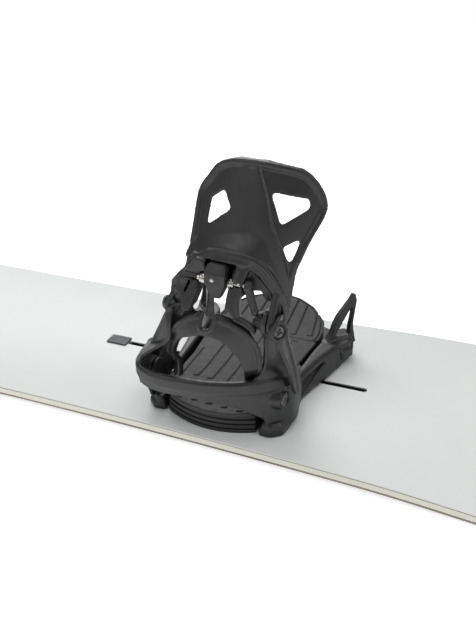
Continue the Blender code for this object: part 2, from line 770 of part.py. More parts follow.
def build_lever(prefix, parent, plastic, steel):
    ring = [(PIVOT_Y + 10 * cos(radians(turn)), PIVOT_Z + 10 * sin(radians(turn)))
            for turn in range(-20, 221, 20)]
    arm = [(-108, 108), (-101, 92), (-94, 76), (-88, 60), (-82, 45), (-76, 32),
           (-70, 28), (-66, 32), (-70, 46), (-76, 62), (-82, 78), (-89.5, 96), (-96, 110.5)]
    mesh = sliced(slab([ring + arm], 0, 5.2), 1, 8.0)
    mesh = wrapped(mesh, on_lever)
    bore = rod((40, PIVOT_Y, PIVOT_Z), (90, PIVOT_Y, PIVOT_Z), 3.6, 16)
    add(f"{prefix}_release_lever", cut(mesh, bore), plastic, parent)
    head = rod((67.8, PIVOT_Y, PIVOT_Z), (70.2, PIVOT_Y, PIVOT_Z), 6.8, 20)
    shank = rod((41.0, PIVOT_Y, PIVOT_Z), (69, PIVOT_Y, PIVOT_Z), 3.3, 16)
    add(f"{prefix}_lever_screw", joined(head, shank), steel, parent)
    cam = rod((42.5, PIVOT_Y, PIVOT_Z), (49.7, PIVOT_Y, PIVOT_Z), 6.0, 16)
    nose = rod((46.5, PIVOT_Y, PIVOT_Z), (46.5, PIVOT_Y, PIVOT_Z + 9.0), 2.6, 10)
    bore = rod((30, PIVOT_Y, PIVOT_Z), (60, PIVOT_Y, PIVOT_Z), 3.6, 16)
    add(f"{prefix}_release_cam", cut(joined(cam, nose), bore), plastic, parent)


def build_fixed_screws(prefix, parent, steel):
    for side, seat, place in ((1, OUTER_SEAT, "outer"), (-1, INNER_SEAT, "inner")):
        head = rod((side * seat, SCREW_Y, SCREW_Z), (side * (seat + 3), SCREW_Y, SCREW_Z), 7.2, 20)
        shank = rod((side * (seat - 9), SCREW_Y, SCREW_Z), (side * (seat + 1), SCREW_Y, SCREW_Z),
                    3.0, 14)
        add(f"{prefix}_hoop_screw_{place}", joined(head, shank), steel, parent)
    head = rod((-47.0, PIVOT_Y, PIVOT_Z), (-44.4, PIVOT_Y, PIVOT_Z), 6.4, 20)
    shank = rod((-46, PIVOT_Y, PIVOT_Z), (-34, PIVOT_Y, PIVOT_Z), 3.3, 16)
    add(f"{prefix}_pivot_screw_inner", joined(head, shank), steel, parent)


def build_binding(prefix, end):
    black = material("moulded", (0.035, 0.035, 0.04), 0.5)
    pad = material("pad", (0.06, 0.06, 0.065), 0.8)
    rubber = material("rubber", (0.03, 0.03, 0.03), 0.85)
    steel = material("steel", (0.30, 0.30, 0.31), 0.35, 1.0)
    nickel = material("nickel", (0.75, 0.74, 0.72), 0.25, 1.0)

    base = bpy.data.objects.new(f"{prefix}_binding", None)
    parts.objects.link(base)
    base.location = (end * STANCE / 2 * MM, 0, DECK * MM)
    base.rotation_euler.z = radians(-end * STANCE_ANGLE)
    base.scale = (end, 1, 1)
    middle = bpy.data.objects.new(f"{prefix}_mounting", None)
    parts.objects.link(middle)
    middle.location = base.location
    middle.scale = (end, 1, 1)
    pivot = axle_empty(f"{prefix}_highback_axis", base, PIVOT_Y, PIVOT_Z)
    lever = axle_empty(f"{prefix}_lever_axis", pivot, PIVOT_Y, PIVOT_Z)
    catch = axle_empty(f"{prefix}_catch_axis", pivot, CATCH_Y, CATCH_Z)

    build_baseplate(prefix, base, black)
    build_mounting(prefix, middle, black, steel)
    build_footbed(prefix, base, pad)
    build_toe_pad(prefix, base, pad)
    build_heel_bumper(prefix, base, rubber)
    for side, place in ((1, "outer"), (-1, "inner")):
        build_toe_hook(prefix, base, side, place, black)
    build_hoop(prefix, base, black)
    build_heel_cup(prefix, base, black)
    build_fixed_screws(prefix, base, steel)
    build_highback(prefix, pivot, black)
    build_catch(prefix, catch, black, nickel)
    build_link_arm(prefix, catch, black)
    build_lever(prefix, lever, black, steel)


for old in list(bpy.data.objects):
    bpy.data.objects.remove(old)
parts = bpy.data.collections.new("snowboard_with_bindings")
cutters = bpy.data.collections.new("cutters")
bpy.context.scene.collection.children.link(parts)
bpy.context.scene.collection.children.link(cutters)
build_board()
build_binding("front", 1)
build_binding("rear", -1)
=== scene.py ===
"""The looks of a snowboard with two step-in bindings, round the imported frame.

Each binding piece is drawn in millimetres in the front binding's own frame: +x outwards, +y to
the toe, z from the deck. place() puts it at the front and, mirrored, at the rear. A moulded
piece is a set of overlapping closed shells that a voxel remesh makes one, with soft edges.
"""
from math import ceil, cos, pi, radians, sin, sqrt, tan

import bmesh
import bpy
import numpy as np
from mathutils import Matrix, Vector


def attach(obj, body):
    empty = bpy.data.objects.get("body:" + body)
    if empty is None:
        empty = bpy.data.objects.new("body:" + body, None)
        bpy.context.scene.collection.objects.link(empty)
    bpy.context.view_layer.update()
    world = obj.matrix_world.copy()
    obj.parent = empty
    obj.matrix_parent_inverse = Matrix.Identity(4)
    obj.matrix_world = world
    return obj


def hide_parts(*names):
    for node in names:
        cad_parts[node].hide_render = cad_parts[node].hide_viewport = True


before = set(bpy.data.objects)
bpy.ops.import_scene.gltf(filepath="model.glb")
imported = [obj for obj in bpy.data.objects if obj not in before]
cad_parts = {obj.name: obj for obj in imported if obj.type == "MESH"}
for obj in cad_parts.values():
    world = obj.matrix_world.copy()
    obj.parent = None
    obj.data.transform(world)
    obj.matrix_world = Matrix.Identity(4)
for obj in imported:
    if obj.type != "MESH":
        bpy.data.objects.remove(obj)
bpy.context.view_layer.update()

MM = 0.001
LENGTH = 1550.0
WAIST = 253.0
SIDECUT_RADIUS = 7600.0
WIDEST_AT = 580.0
CONTACT_RISE = 5.0
FLAT_TO = 400.0
TIP_RISE = 48.0
BOARD_THICKNESS = 9.4
BASE_THICKNESS = 1.4
TOPSHEET_THICKNESS = 1.3
EDGE_WIDTH = 2.2
EDGE_THICKNESS = 2.2
SIDEWALL_WIDTH = 5.0
GAP = 0.3
DECK = CONTACT_RISE + BOARD_THICKNESS
CHANNEL_START = 106.0
CHANNEL_END = 386.0
SLOT_WIDTH = 5.6
STANCE = 514.0
STANCE_ANGLE = 3.0

FLOOR_TOP = 7.0
FOOTBED_TOP = 24.5
SEAM_Y = 40.0
PIVOT_Y = -101.0
PIVOT_Z = 120.0
CATCH_Y = -104.0
CATCH_Z = 153.0
OUTER_TOWER = 50.0
INNER_TOWER = 33.5
LEVER_INSIDE = 61.9
CAP_CENTRE = Vector((65.6, -107.5, 117.5))
CAP_AXIS = Vector((0.80, -0.56, 0.2)).normalized()
SCREW_Y = -90.0
SCREW_Z = 36.0
OUTER_SEAT = 66.6
INNER_SEAT = 72.6
HEAD_THICKNESS = 3.0
PIVOT_BORE = 3.8
CATCH_BORE = 3.4
LEVER_BORE = 3.6
BAY_REAR = -98                  # the face of the housing behind the catch
BAND_REAR = -104.3              # the heel side of the highback's left leg
WEB_REAR = -112                 # the heel side of the inner tower's broad face

FLOOR_SIZE = 40
FLOOR_DROP = 0.0006
FLOOR_GLOW = 0.7
SKY_STRENGTH = 0.35
CAMERA_SPOT = (0.4554, -0.6095, 0.4331)
CAMERA_LENS = 39.25


# ---------------------------------------------------------------- meshes

def ease(value):
    value = min(max(value, 0.0), 1.0)
    return value * value * (3 - 2 * value)


def rounded(points, radius, steps=5):
    """A closed outline with its corners turned into curves."""
    result = []
    for index, point in enumerate(points):
        corner = Vector(point)
        back = Vector(points[index - 1]) - corner
        ahead = Vector(points[(index + 1) % len(points)]) - corner
        angle = back.angle(ahead)
        if angle > radians(176):
            result.append(tuple(corner))
            continue
        reach = min(radius / tan(angle / 2), 0.45 * back.length, 0.45 * ahead.length)
        start = corner + back.normalized() * reach
        end = corner + ahead.normalized() * reach
        for step in range(steps + 1):
            t = step / steps
            result.append(tuple(start * (1 - t) ** 2 + corner * 2 * t * (1 - t) + end * t ** 2))
    return result


def curved(points, steps=6, closed=False):
    """A smooth line through the points."""
    count = len(points)
    result = []
    spans = count if closed else count - 1
    for i in range(spans):
        if closed:
            a, b, c, d = (Vector(points[(i + k) % count]) for k in (-1, 0, 1, 2))
        else:
            a, b, c, d = (Vector(points[min(max(i + k, 0), count - 1)]) for k in (-1, 0, 1, 2))
        for step in range(steps):
            t = step / steps
            result.append(tuple(0.5 * (2 * b + (c - a) * t + (2 * a - 5 * b + 4 * c - d) * t ** 2
                                       + (3 * b - a - 3 * c + d) * t ** 3)))
    if not closed:
        result.append(tuple(points[-1]))
    return result


def ribbon(points, left, right):
    """An outline round a line of points, reaching left and right of it."""
    sides = []
    for i, point in enumerate(points):
        before = Vector(points[max(i - 1, 0)])
        after = Vector(points[min(i + 1, len(points) - 1)])
        run = (after - before).normalized()
        normal = Vector((-run.y, run.x))
        step = run if i == 0 else (Vector(point) - before).normalized()
        stretch = 1 / max(abs(step.dot(run)), 0.75)
        sides.append((Vector(point), normal * stretch))
    return ([tuple(p + n * left) for p, n in sides]
            + [tuple(p - n * right) for p, n in reversed(sides)])


def circle(x, y, radius, count=48):
    return [(x + radius * cos(2 * pi * i / count), y + radius * sin(2 * pi * i / count))
            for i in range(count)]


def mirrored(points):
    left = [(-x, y) for x, y in reversed(points) if x > 0.01]
    return points + left


def mesh_of(thing):
    """The evaluated mesh of an object, which is then removed."""
    bpy.context.view_layer.update()
    graph = bpy.context.evaluated_depsgraph_get()
    mesh = bpy.data.meshes.new_from_object(thing.evaluated_get(graph))
    mesh.transform(thing.matrix_world)
    data = thing.data
    bpy.data.objects.remove(thing)
    if isinstance(data, bpy.types.Curve):
        bpy.data.curves.remove(data)
    return mesh


def changed(mesh, kind, **settings):
    """The mesh after one modifier."""
    thing = bpy.data.objects.new("work", mesh)
    bpy.context.scene.collection.objects.link(thing)
    modifier = thing.modifiers.new(kind, kind)
    for name, value in settings.items():
        setattr(modifier, name, value)
    return mesh_of(thing)


def edited(mesh, change):
    """The mesh after a bmesh operation."""
    work = bmesh.new()
    work.from_mesh(mesh)
    change(work)
    work.to_mesh(mesh)
    work.free()
    return mesh


def welded(mesh):
    def change(work):
        bmesh.ops.remove_doubles(work, verts=work.verts, dist=0.0005)
        bmesh.ops.recalc_face_normals(work, faces=work.faces)
    return edited(mesh, change)


def slab(loops, low, high):
    """A flat outline with its holes, as thick as from low to high."""
    curve = bpy.data.curves.new("outline", "CURVE")
    curve.dimensions = "2D"
    curve.fill_mode = "BOTH"
    curve.extrude = (high - low) / 2
    for loop in loops:
        spline = curve.splines.new("POLY")
        spline.points.add(len(loop) - 1)
        for point, (x, y) in zip(spline.points, loop):
            point.co = (x, y, 0, 1)
        spline.use_cyclic_u = True
    thing = bpy.data.objects.new("outline", curve)
    bpy.context.scene.collection.objects.link(thing)
    thing.location.z = (high + low) / 2
    return welded(mesh_of(thing))


def rod(start, end, radius, sides=64, far=None):
    """A cylinder between two points, or a cone with another radius at its far end."""
    start = Vector(start)
    end = Vector(end)
    run = end - start
    place = Matrix.Translation((start + end) / 2) @ run.to_track_quat("Z", "Y").to_matrix().to_4x4()
    work = bmesh.new()
    bmesh.ops.create_cone(work, cap_ends=True, segments=sides, radius1=radius,
                          radius2=radius if far is None else far, depth=run.length, matrix=place)
    mesh = bpy.data.meshes.new("rod")
    work.to_mesh(mesh)
    work.free()
    return mesh


def pivot_rod(start, end, radius, sides=64):
    """A rod on the highback's pivot axis."""
    return rod((start, PIVOT_Y, PIVOT_Z), (end, PIVOT_Y, PIVOT_Z), radius, sides)


def catch_rod(start, end, radius, sides=64):
    """A rod on the heel catch's shaft."""
    return rod((start, CATCH_Y, CATCH_Z), (end, CATCH_Y, CATCH_Z), radius, sides)


def ball(centre, radii):
    """An ellipsoid."""
    work = bmesh.new()
    bmesh.ops.create_uvsphere(work, u_segments=40, v_segments=24, radius=1,
                              matrix=Matrix.Translation(centre) @ Matrix.Diagonal((*radii, 1)))
    mesh = bpy.data.meshes.new("ball")
    work.to_mesh(mesh)
    work.free()
    return mesh


def loft(rings, closed=False):
    """A skin through rings of points, with end caps or joined to its start."""
    work = bmesh.new()
    rows = [[work.verts.new(point) for point in ring] for ring in rings]
    count = len(rows[0])
    pairs = list(zip(rows, rows[1:]))
    if closed:
        pairs.append((rows[-1], rows[0]))
    else:
        work.faces.new(rows[0])
        work.faces.new(rows[-1])
    for row, ahead in pairs:
        for i in range(count):
            j = (i + 1) % count
            work.faces.new((row[i], row[j], ahead[j], ahead[i]))
    bmesh.ops.recalc_face_normals(work, faces=work.faces)
    mesh = bpy.data.meshes.new("loft")
    work.to_mesh(mesh)
    work.free()
    return mesh


def sliced(mesh, axis, step):
    """The mesh with its faces split at every step along an axis, so that it can be bent."""
    def change(work):
        bmesh.ops.triangulate(work, faces=work.faces)
        places = [vertex.co[axis] for vertex in work.verts]
        normal = Vector((0, 0, 0))
        normal[axis] = 1
        at = ceil(min(places) / step) * step + step / 3
        while at < max(places):
            everything = work.verts[:] + work.edges[:] + work.faces[:]
            bmesh.ops.bisect_plane(work, geom=everything, dist=0.01, plane_co=normal * at,
                                   plane_no=normal)
            at += step
        bmesh.ops.triangulate(work, faces=work.faces)
    return edited(mesh, change)


def mapped(mesh, place):
    """The mesh with each point moved by a function of its three numbers."""
    for vertex in mesh.vertices:
        vertex.co = place(*vertex.co)
    return edited(mesh, lambda work: bmesh.ops.recalc_face_normals(work, faces=work.faces))


def sideways(y, z, x):
    """Stands a slab drawn in y and z upright, with its thickness along x."""
    return x, y, z


def bent(mesh, place, step=4.0):
    return mapped(sliced(sliced(mesh, 0, step), 1, 2 * step), place)


def panel(points, radius, low, high, place, step=3.0):
    """A plate with rounded corners, bent onto a surface."""
    return bent(slab([rounded(points, radius)], low, high), place, step)


def ridge(line, left, right, low, high, place, step=3.0):
    """A raised band along a line, bent onto a surface."""
    return bent(slab([ribbon(line, left, right)], low, high), place, step)


def gathered(meshes):
    work = bmesh.new()
    for mesh in meshes:
        work.from_mesh(mesh)
    whole = bpy.data.meshes.new("gathered")
    work.to_mesh(whole)
    work.free()
    return whole


def carved(mesh, *tools):
    """The mesh cut by the tools, which are closed and may not overlap."""
    for tool_mesh in tools:
        tool = bpy.data.objects.new("tool", tool_mesh)
        bpy.context.scene.collection.objects.link(tool)
        mesh = changed(mesh, "BOOLEAN", operation="DIFFERENCE", solver="MANIFOLD", object=tool)
        bpy.data.objects.remove(tool)
    return mesh


def moulded(shells, voxel=1.0, rounds=4, tools=()):
    """Overlapping closed shells as one skin with soft edges, cut by tools."""
    mesh = gathered(shells)
    mesh = changed(mesh, "REMESH", mode="VOXEL", voxel_size=voxel, adaptivity=0)
    if tools:
        mesh = carved(mesh, *tools)
        mesh = changed(mesh, "REMESH", mode="VOXEL", voxel_size=voxel, adaptivity=0)
    return changed(mesh, "SMOOTH", factor=0.5, iterations=rounds)


def engraved(mesh, lines, depth, width, above):
    """Grooves along lines in plan, pressed into the part of the mesh above a height."""
    count = len(mesh.vertices)
    points = np.empty(count * 3)
    mesh.vertices.foreach_get("co", points)
    points = points.reshape(-1, 3)
    nearest = np.full(count, 1e9)
    for line in lines:
        for start, end in zip(line, line[1:]):
            a = np.array(start)
            run = np.array(end) - a
            along = np.clip(((points[:, :2] - a) @ run) / (run @ run), 0, 1)
            away = points[:, :2] - a - along[:, None] * run
            nearest = np.minimum(nearest, np.hypot(away[:, 0], away[:, 1]))
    share = np.clip(1 - nearest / width, 0, 1)
    share = share * share * (3 - 2 * share)
    if callable(above):
        floor = np.array([above(x, y) for x, y, _ in points])
    else:
        floor = above
    points[:, 2] -= depth * share * (points[:, 2] > floor)
    mesh.vertices.foreach_set("co", points.ravel())
    mesh.update()
    return mesh


# ---------------------------------------------------------------- finishes

def noise(tree, coords, scale, detail=3.0, rough=0.55):
    made = tree.nodes.new("ShaderNodeTexNoise")
    made.inputs["Scale"].default_value = scale
    made.inputs["Detail"].default_value = detail
    made.inputs["Roughness"].default_value = rough
    tree.links.new(coords, made.inputs["Vector"])
    return made.outputs["Fac"]


def spread(tree, value, low, high, start=0.3, stop=0.7):
    """A factor mapped from start..stop to low..high."""
    made = tree.nodes.new("ShaderNodeMapRange")
    for name, number in zip(("From Min", "From Max", "To Min", "To Max"),
                            (start, stop, low, high)):
        made.inputs[name].default_value = number
    tree.links.new(value, made.inputs["Value"])
    return made.outputs["Result"]


def tinted(tree, factor, one, other):
    made = tree.nodes.new("ShaderNodeMix")
    made.data_type = "RGBA"
    made.inputs[6].default_value = (*one, 1)
    made.inputs[7].default_value = (*other, 1)
    tree.links.new(factor, made.inputs[0])
    return made.outputs[2]


def stretched(tree, coords, scale):
    made = tree.nodes.new("ShaderNodeMapping")
    made.inputs["Scale"].default_value = scale
    tree.links.new(coords, made.inputs["Vector"])
    return made.outputs["Vector"]


def bumped(tree, height, distance, strength, before=None):
    made = tree.nodes.new("ShaderNodeBump")
    made.inputs["Strength"].default_value = strength
    made.inputs["Distance"].default_value = distance
    tree.links.new(height, made.inputs["Height"])
    if before:
        tree.links.new(before, made.inputs["Normal"])
    return made.outputs["Normal"]


def finish(name, dark, light, rough, grain, bump=0.35, metallic=0.0, patch=18.0, stretch=(1, 1, 1),
           specular=0.5, edge_wear_and_sheen=None):
    """A procedural material: patches of two tints, uneven gloss, a fine grain in relief and, when
    an edge tint is given, lighter convex edges that are partly rubbed wear and partly a painted
    highlight.
    """
    made = bpy.data.materials.new(name)
    made.use_nodes = True
    tree = made.node_tree
    shader = tree.nodes["Principled BSDF"]
    shader.inputs["Metallic"].default_value = metallic
    shader.inputs["Specular IOR Level"].default_value = specular
    place = tree.nodes.new("ShaderNodeTexCoord").outputs["Object"]
    coords = stretched(tree, place, stretch)
    patches = noise(tree, coords, patch, 4.0)
    colour = tinted(tree, spread(tree, patches, 0, 1), dark, light)
    fine = noise(tree, coords, grain, 2.0)
    # Convex edges, picked out by pointiness, take the edge tint: partly rubbed wear, partly a
    # painted highlight where light would catch them.
    if edge_wear_and_sheen:
        edges = tree.nodes.new("ShaderNodeNewGeometry").outputs["Pointiness"]
        wear_and_sheen_mask = spread(tree, edges, 0, 1, 0.52, 0.6)
        mixed = tree.nodes.new("ShaderNodeMix")
        mixed.data_type = "RGBA"
        tree.links.new(wear_and_sheen_mask, mixed.inputs[0])
        tree.links.new(colour, mixed.inputs[6])
        mixed.inputs[7].default_value = (*edge_wear_and_sheen, 1)
        colour = mixed.outputs[2]
    tree.links.new(colour, shader.inputs["Base Color"])
    mottled = noise(tree, coords, patch * 6, 3.0)
    tree.links.new(spread(tree, mottled, rough - 0.06, rough + 0.06), shader.inputs["Roughness"])
    tree.links.new(bumped(tree, fine, 0.0004, bump), shader.inputs["Normal"])
    return made


# The nylon's lighter edge tint is partly rubbed wear and partly a painted edge highlight.
nylon = finish("moulded_nylon", (0.0075, 0.0075, 0.0085), (0.0105, 0.0105, 0.012), 0.42, 1500.0,
               0.22, edge_wear_and_sheen=(0.021, 0.021, 0.024))
nylon_inner = finish("moulded_nylon_fine", (0.007, 0.007, 0.0075), (0.01, 0.01, 0.0105), 0.5,
                     1100.0, 0.3)
pad = finish("foam_pad", (0.012, 0.012, 0.013), (0.017, 0.017, 0.018), 0.62, 1300.0, 0.6,
             patch=40.0)
rubber = finish("bumper_rubber", (0.008, 0.008, 0.0085), (0.012, 0.012, 0.0125), 0.6, 900.0, 0.5,
                stretch=(0.4, 0.4, 2.5))
steel = finish("plated_steel", (0.075, 0.075, 0.08), (0.12, 0.12, 0.125), 0.36, 1400.0, 0.15, 1.0,
               patch=60.0)
nickel = finish("nickel", (0.34, 0.335, 0.32), (0.46, 0.455, 0.43), 0.26, 900.0, 0.08, 1.0,
                patch=90.0, stretch=(0.3, 1, 1))
topsheet = finish("topsheet_lacquer", (0.635, 0.657, 0.642), (0.655, 0.675, 0.66), 0.42, 2200.0,
                  0.05, patch=5.0, specular=0.25)
sidewall = finish("sidewall_plastic", (0.60, 0.595, 0.53), (0.66, 0.65, 0.585), 0.5, 600.0, 0.25,
                  patch=25.0, stretch=(0.15, 1, 3))
edge = finish("edge_steel", (0.14, 0.12, 0.10), (0.24, 0.21, 0.18), 0.4, 1200.0, 0.25, 1.0,
              patch=60.0, stretch=(0.2, 1, 1))
base = finish("running_base", (0.022, 0.022, 0.024), (0.032, 0.032, 0.035), 0.42, 700.0, 0.3,
              patch=30.0, stretch=(0.1, 1.5, 1))
core = finish("core_wood", (0.34, 0.21, 0.10), (0.5, 0.33, 0.17), 0.6, 400.0, 0.4, patch=60.0,
              stretch=(0.06, 2.0, 1))
channel = finish("channel_plastic", (0.01, 0.01, 0.011), (0.016, 0.016, 0.017), 0.45, 900.0, 0.3)
slate = finish("plug_plastic", (0.021, 0.024, 0.027), (0.03, 0.034, 0.038), 0.5, 1200.0, 0.4)
trim = finish("laminate_line", (0.17, 0.14, 0.10), (0.26, 0.22, 0.16), 0.5, 600.0, 0.2,
              patch=50.0, stretch=(0.1, 1, 1))


def place(name, mesh, paint, body, nodes, slot, smooth=None):
    """Put a binding piece at the front and, mirrored, at the rear."""
    for end, prefix in ((1, "front"), (-1, "rear")):
        copy = mesh.copy()
        spot = (Matrix.Translation((end * STANCE / 2 * MM, 0, DECK * MM))
                @ Matrix.Rotation(radians(-end * STANCE_ANGLE), 4, "Z")
                @ Matrix.Diagonal((end * MM, MM, MM, 1)))
        copy.transform(spot)
        if end < 0:
            copy.flip_normals()
        shown(f"{prefix}_{name}", copy, paint, "board" if body == "board" else f"{prefix}_{body}",
              [f"{prefix}_{n}" for n in nodes], slot, smooth)


def shown(name, mesh, paint, body, nodes, slot, smooth=None):
    """A visible piece from a mesh in metres."""
    mesh.name = name
    mesh.materials.clear()
    mesh.materials.append(paint)
    mesh.shade_smooth()
    if smooth:
        mesh.set_sharp_from_angle(angle=radians(smooth))
    piece = bpy.data.objects.new(name, mesh)
    bpy.context.scene.collection.objects.link(piece)
    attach(piece, body)
    if nodes:
        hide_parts(*nodes)
    return piece


# ---------------------------------------------------------------- the board

def half_width(x):
    across = abs(x)
    sidecut = WAIST / 2 + min(across, WIDEST_AT) ** 2 / (2 * SIDECUT_RADIUS)
    if across <= WIDEST_AT:
        return sidecut
    tip = (across - WIDEST_AT) / (LENGTH / 2 - WIDEST_AT)
    return sidecut * sqrt(max(1 - tip ** 2.3, 0))


def base_height(x):
    across = abs(x)
    if across > WIDEST_AT:
        return TIP_RISE * ((across - WIDEST_AT) / (LENGTH / 2 - WIDEST_AT)) ** 2
    return CONTACT_RISE * (1 - ease((across - FLAT_TO) / (WIDEST_AT - FLAT_TO)))


def stations():
    """Places along the board, closer together round the tips."""
    flat = [FLAT_TO * i / 8 for i in range(8)]
    bend = [FLAT_TO + (WIDEST_AT - FLAT_TO) * i / 24 for i in range(25)]
    tip = [WIDEST_AT + (LENGTH / 2 - WIDEST_AT) * sin(pi / 2 * i / 64) for i in range(1, 65)]
    right = flat + bend + tip
    return [-x for x in reversed(right[1:])] + right


def rim(inset):
    """The board's outline in plan, moved in from its edge: toe side, then heel side."""
    scale = (LENGTH / 2 - inset) / (LENGTH / 2)
    toe = [(x * scale, max(half_width(x) - inset, 0.4)) for x in stations()]
    return toe + [(x, -y) for x, y in reversed(toe)]


def layer(profile):
    """A layer as wide as the board. The profile gives (inset, height) from its bottom up."""
    rings = []
    count = len(stations())
    loops = [(rim(inset), up) for inset, up in profile]
    for i in range(count):
        j = 2 * count - 1 - i
        ring = [(*loop[i], base_height(loop[i][0]) + up) for loop, up in loops]
        ring += [(*loop[j], base_height(loop[j][0]) + up) for loop, up in reversed(loops)]
        rings.append(ring)
    return loft(rings)


def band(profile):
    """A closed band round the board's edge. The profile is a ring of (inset, height)."""
    loops = [(rim(inset), up) for inset, up in profile]
    rings = []
    for i in range(len(loops[0][0])):
        rings.append([(*loop[i], base_height(loop[i][0]) + up) for loop, up in loops])
    return loft(rings, closed=True)


def pocket(end, half, extra, low, high):
    start, stop = sorted((end * CHANNEL_START, end * CHANNEL_END))
    corners = [(start - extra, -half), (stop + extra, -half), (stop + extra, half),
               (start - extra, half)]
    return slab([rounded(corners, half, 8)], low, high)


def metres(mesh):
    mesh.transform(Matrix.Scale(MM, 4))
    return mesh


def build_board():
    top_low = BOARD_THICKNESS - TOPSHEET_THICKNESS
    profile = [(0.75, top_low), (0.62, top_low + 0.3), (0.62, BOARD_THICKNESS - 0.6),
               (0.8, BOARD_THICKNESS - 0.2), (1.25, BOARD_THICKNESS)]
    top = layer(profile)
    deck = CONTACT_RISE
    slots = [pocket(end, SLOT_WIDTH / 2 + 0.7, -2.0, deck, deck + 20) for end in (-1, 1)]
    top = carved(top, *slots)
    shown("topsheet_skin", metres(top), topsheet, "board", ["topsheet"], "topsheet", 35)
    wall_low = EDGE_THICKNESS + 0.15
    walls = band([(0.1, wall_low), (0.12, wall_low + 0.4), (0.42, top_low - 0.5),
                  (0.5, top_low - 0.1), (SIDEWALL_WIDTH, top_low - 0.1),
                  (SIDEWALL_WIDTH, wall_low)])
    shown("sidewall_band", metres(walls), sidewall, "board",
          ["sidewall_toe", "sidewall_heel", "tip_spacer_nose", "tip_spacer_tail"], "sidewall", 40)
    line = band([(0.44, top_low - 0.35), (0.36, top_low - 0.2), (0.36, top_low + 0.15),
                 (0.6, top_low + 0.3), (2.0, top_low + 0.3), (2.0, top_low - 0.35)])
    shown("topsheet_edge_line", metres(line), trim, "board", [], "sidewall", 40)
    rail = band([(0.25, 0), (0, 0.25), (0, EDGE_THICKNESS - 0.3), (0.3, EDGE_THICKNESS),
                 (EDGE_WIDTH, EDGE_THICKNESS), (EDGE_WIDTH, 0)])
    shown("steel_edge_rail", metres(rail), edge, "board", ["steel_edge"], "edge_steel", 40)
    sole = layer([(EDGE_WIDTH + 0.1, 0.05), (EDGE_WIDTH + 0.1, BASE_THICKNESS)])
    shown("running_base_sheet", metres(sole), base, "board", ["base_sheet"], "base", 40)
    for end, name in ((1, "front"), (-1, "rear")):
        middle = end * (CHANNEL_START - 10)
        corners = [(middle - 12.4, -8.9), (middle + 12.4, -8.9), (middle + 12.4, 8.9),
                   (middle - 12.4, 8.9)]
        smaller = [(middle + (x - middle) * 0.93, y * 0.9) for x, y in corners]
        inner = [(middle + (x - middle) * 0.62, y * 0.46) for x, y in corners]
        low = DECK + 0.1
        cap = moulded([slab([rounded(corners, 2.2)], low, low + 1.25),
                       slab([rounded(smaller, 2.0)], low, low + 1.75)], 0.4, 3,
                      [slab([rounded(inner, 1.5)], low + 1.35, low + 3)])
        shown(f"plug_{name}_cap", metres(cap), slate, "board", [f"channel_plug_{name}"], "plug")


# ---------------------------------------------------------------- curves of the binding

# The inside of the heel hoop at its lip, from its rear middle to the front end of each side
HOOP_OUTER = curved([(0, -122.4), (8, -120.1), (26.2, -113.2), (38.8, -105.5),
                          (51.8, -94.8), (61, -84.6), (65.2, -75.5), (67.5, -60), (67.5, -42),
                          (67.5, -25)])
HOOP_INNER = curved([(0, -122.4), (-18, -125.3), (-35, -127), (-50.5, -126), (-62, -120.5),
                          (-68, -112.5), (-70.5, -103), (-71.8, -90), (-71.5, -70), (-69, -45),
                          (-67.5, -25)])


def along_hoop(distance):
    """The point and outward direction at a distance along the hoop, outer half positive."""
    points = HOOP_OUTER if distance >= 0 else HOOP_INNER
    side = 1 if distance >= 0 else -1
    gone = 0.0
    for start, end in zip(points, points[1:]):
        step = sqrt((end[0] - start[0]) ** 2 + (end[1] - start[1]) ** 2)
        if gone + step >= abs(distance) or end == points[-1]:
            part = (abs(distance) - gone) / step
            x = start[0] + (end[0] - start[0]) * part
            y = start[1] + (end[1] - start[1]) * part
            return x, y, side * (end[1] - start[1]) / step, -side * (end[0] - start[0]) / step
        gone += step
    return None


def hoop_distance(side, y):
    """How far along one half of the hoop its inside reaches a place from heel to toe."""
    points = HOOP_OUTER if side > 0 else HOOP_INNER
    gone = 0.0
    lowest = min(range(len(points)), key=lambda i: points[i][1])
    for index, (start, end) in enumerate(zip(points, points[1:])):
        if end[1] >= y and index >= lowest:
            return side * gone
        gone += sqrt((end[0] - start[0]) ** 2 + (end[1] - start[1]) ** 2)
    return side * gone


def hoop_flare(distance, z):
    """How far the wall leans out, or in, below its lip."""
    if distance > 0:
        reach = 7 * ease((distance - 25) / 30) * ease((112 - distance) / 35)
    else:
        reach = -6 * ease((-distance - 62) / 25) * ease((140 + distance) / 30)
    return reach * max(58 - z, 0) / 44


def on_hoop(distance, z, out):
    """A point of the hoop. Above it, each tower flattens into an upright plate at its pivot."""
    side = 1 if distance >= 0 else -1
    x, y, out_x, out_y = along_hoop(distance)
    out += hoop_flare(distance, z)
    plate = OUTER_TOWER if side > 0 else -INNER_TOWER
    flat = ease((z - 60) / (22 if side > 0 else 34))
    x = (x + out * out_x) * (1 - flat) + (plate + side * out) * flat
    y += out * out_y * (1 - flat)
    return x, y, z


def back_rear(z):
    if z > 114:
        return -118 + 0.34 * (z - 104)
    return -118 + 0.34 * max(z - 94, 0) ** 2 / 40


def on_back(across, z, out):
    """A point of the highback or heel cup: a lean cone, canted outwards towards its top."""
    radius = 68 + 26 * min(max((z - 60) / 190, 0), 1)
    turn = across / radius
    cant = 29 * ease((z - 85) / 150)
    x = cant + (radius + out) * sin(turn)
    y = back_rear(z) + radius - (radius + out) * cos(turn)
    return x, y, z


# ---------------------------------------------------------------- fixed pieces of the binding

def floor_outline():
    right = [(48.3, -92), (48.3, -107), (60, -108), (70, -100), (70, -66), (67, -42),
             (73, -10), (81, 20), (89, 40), (94, 62), (82, 86), (60, 103), (30, 113), (0, 116)]
    return mirrored(right)


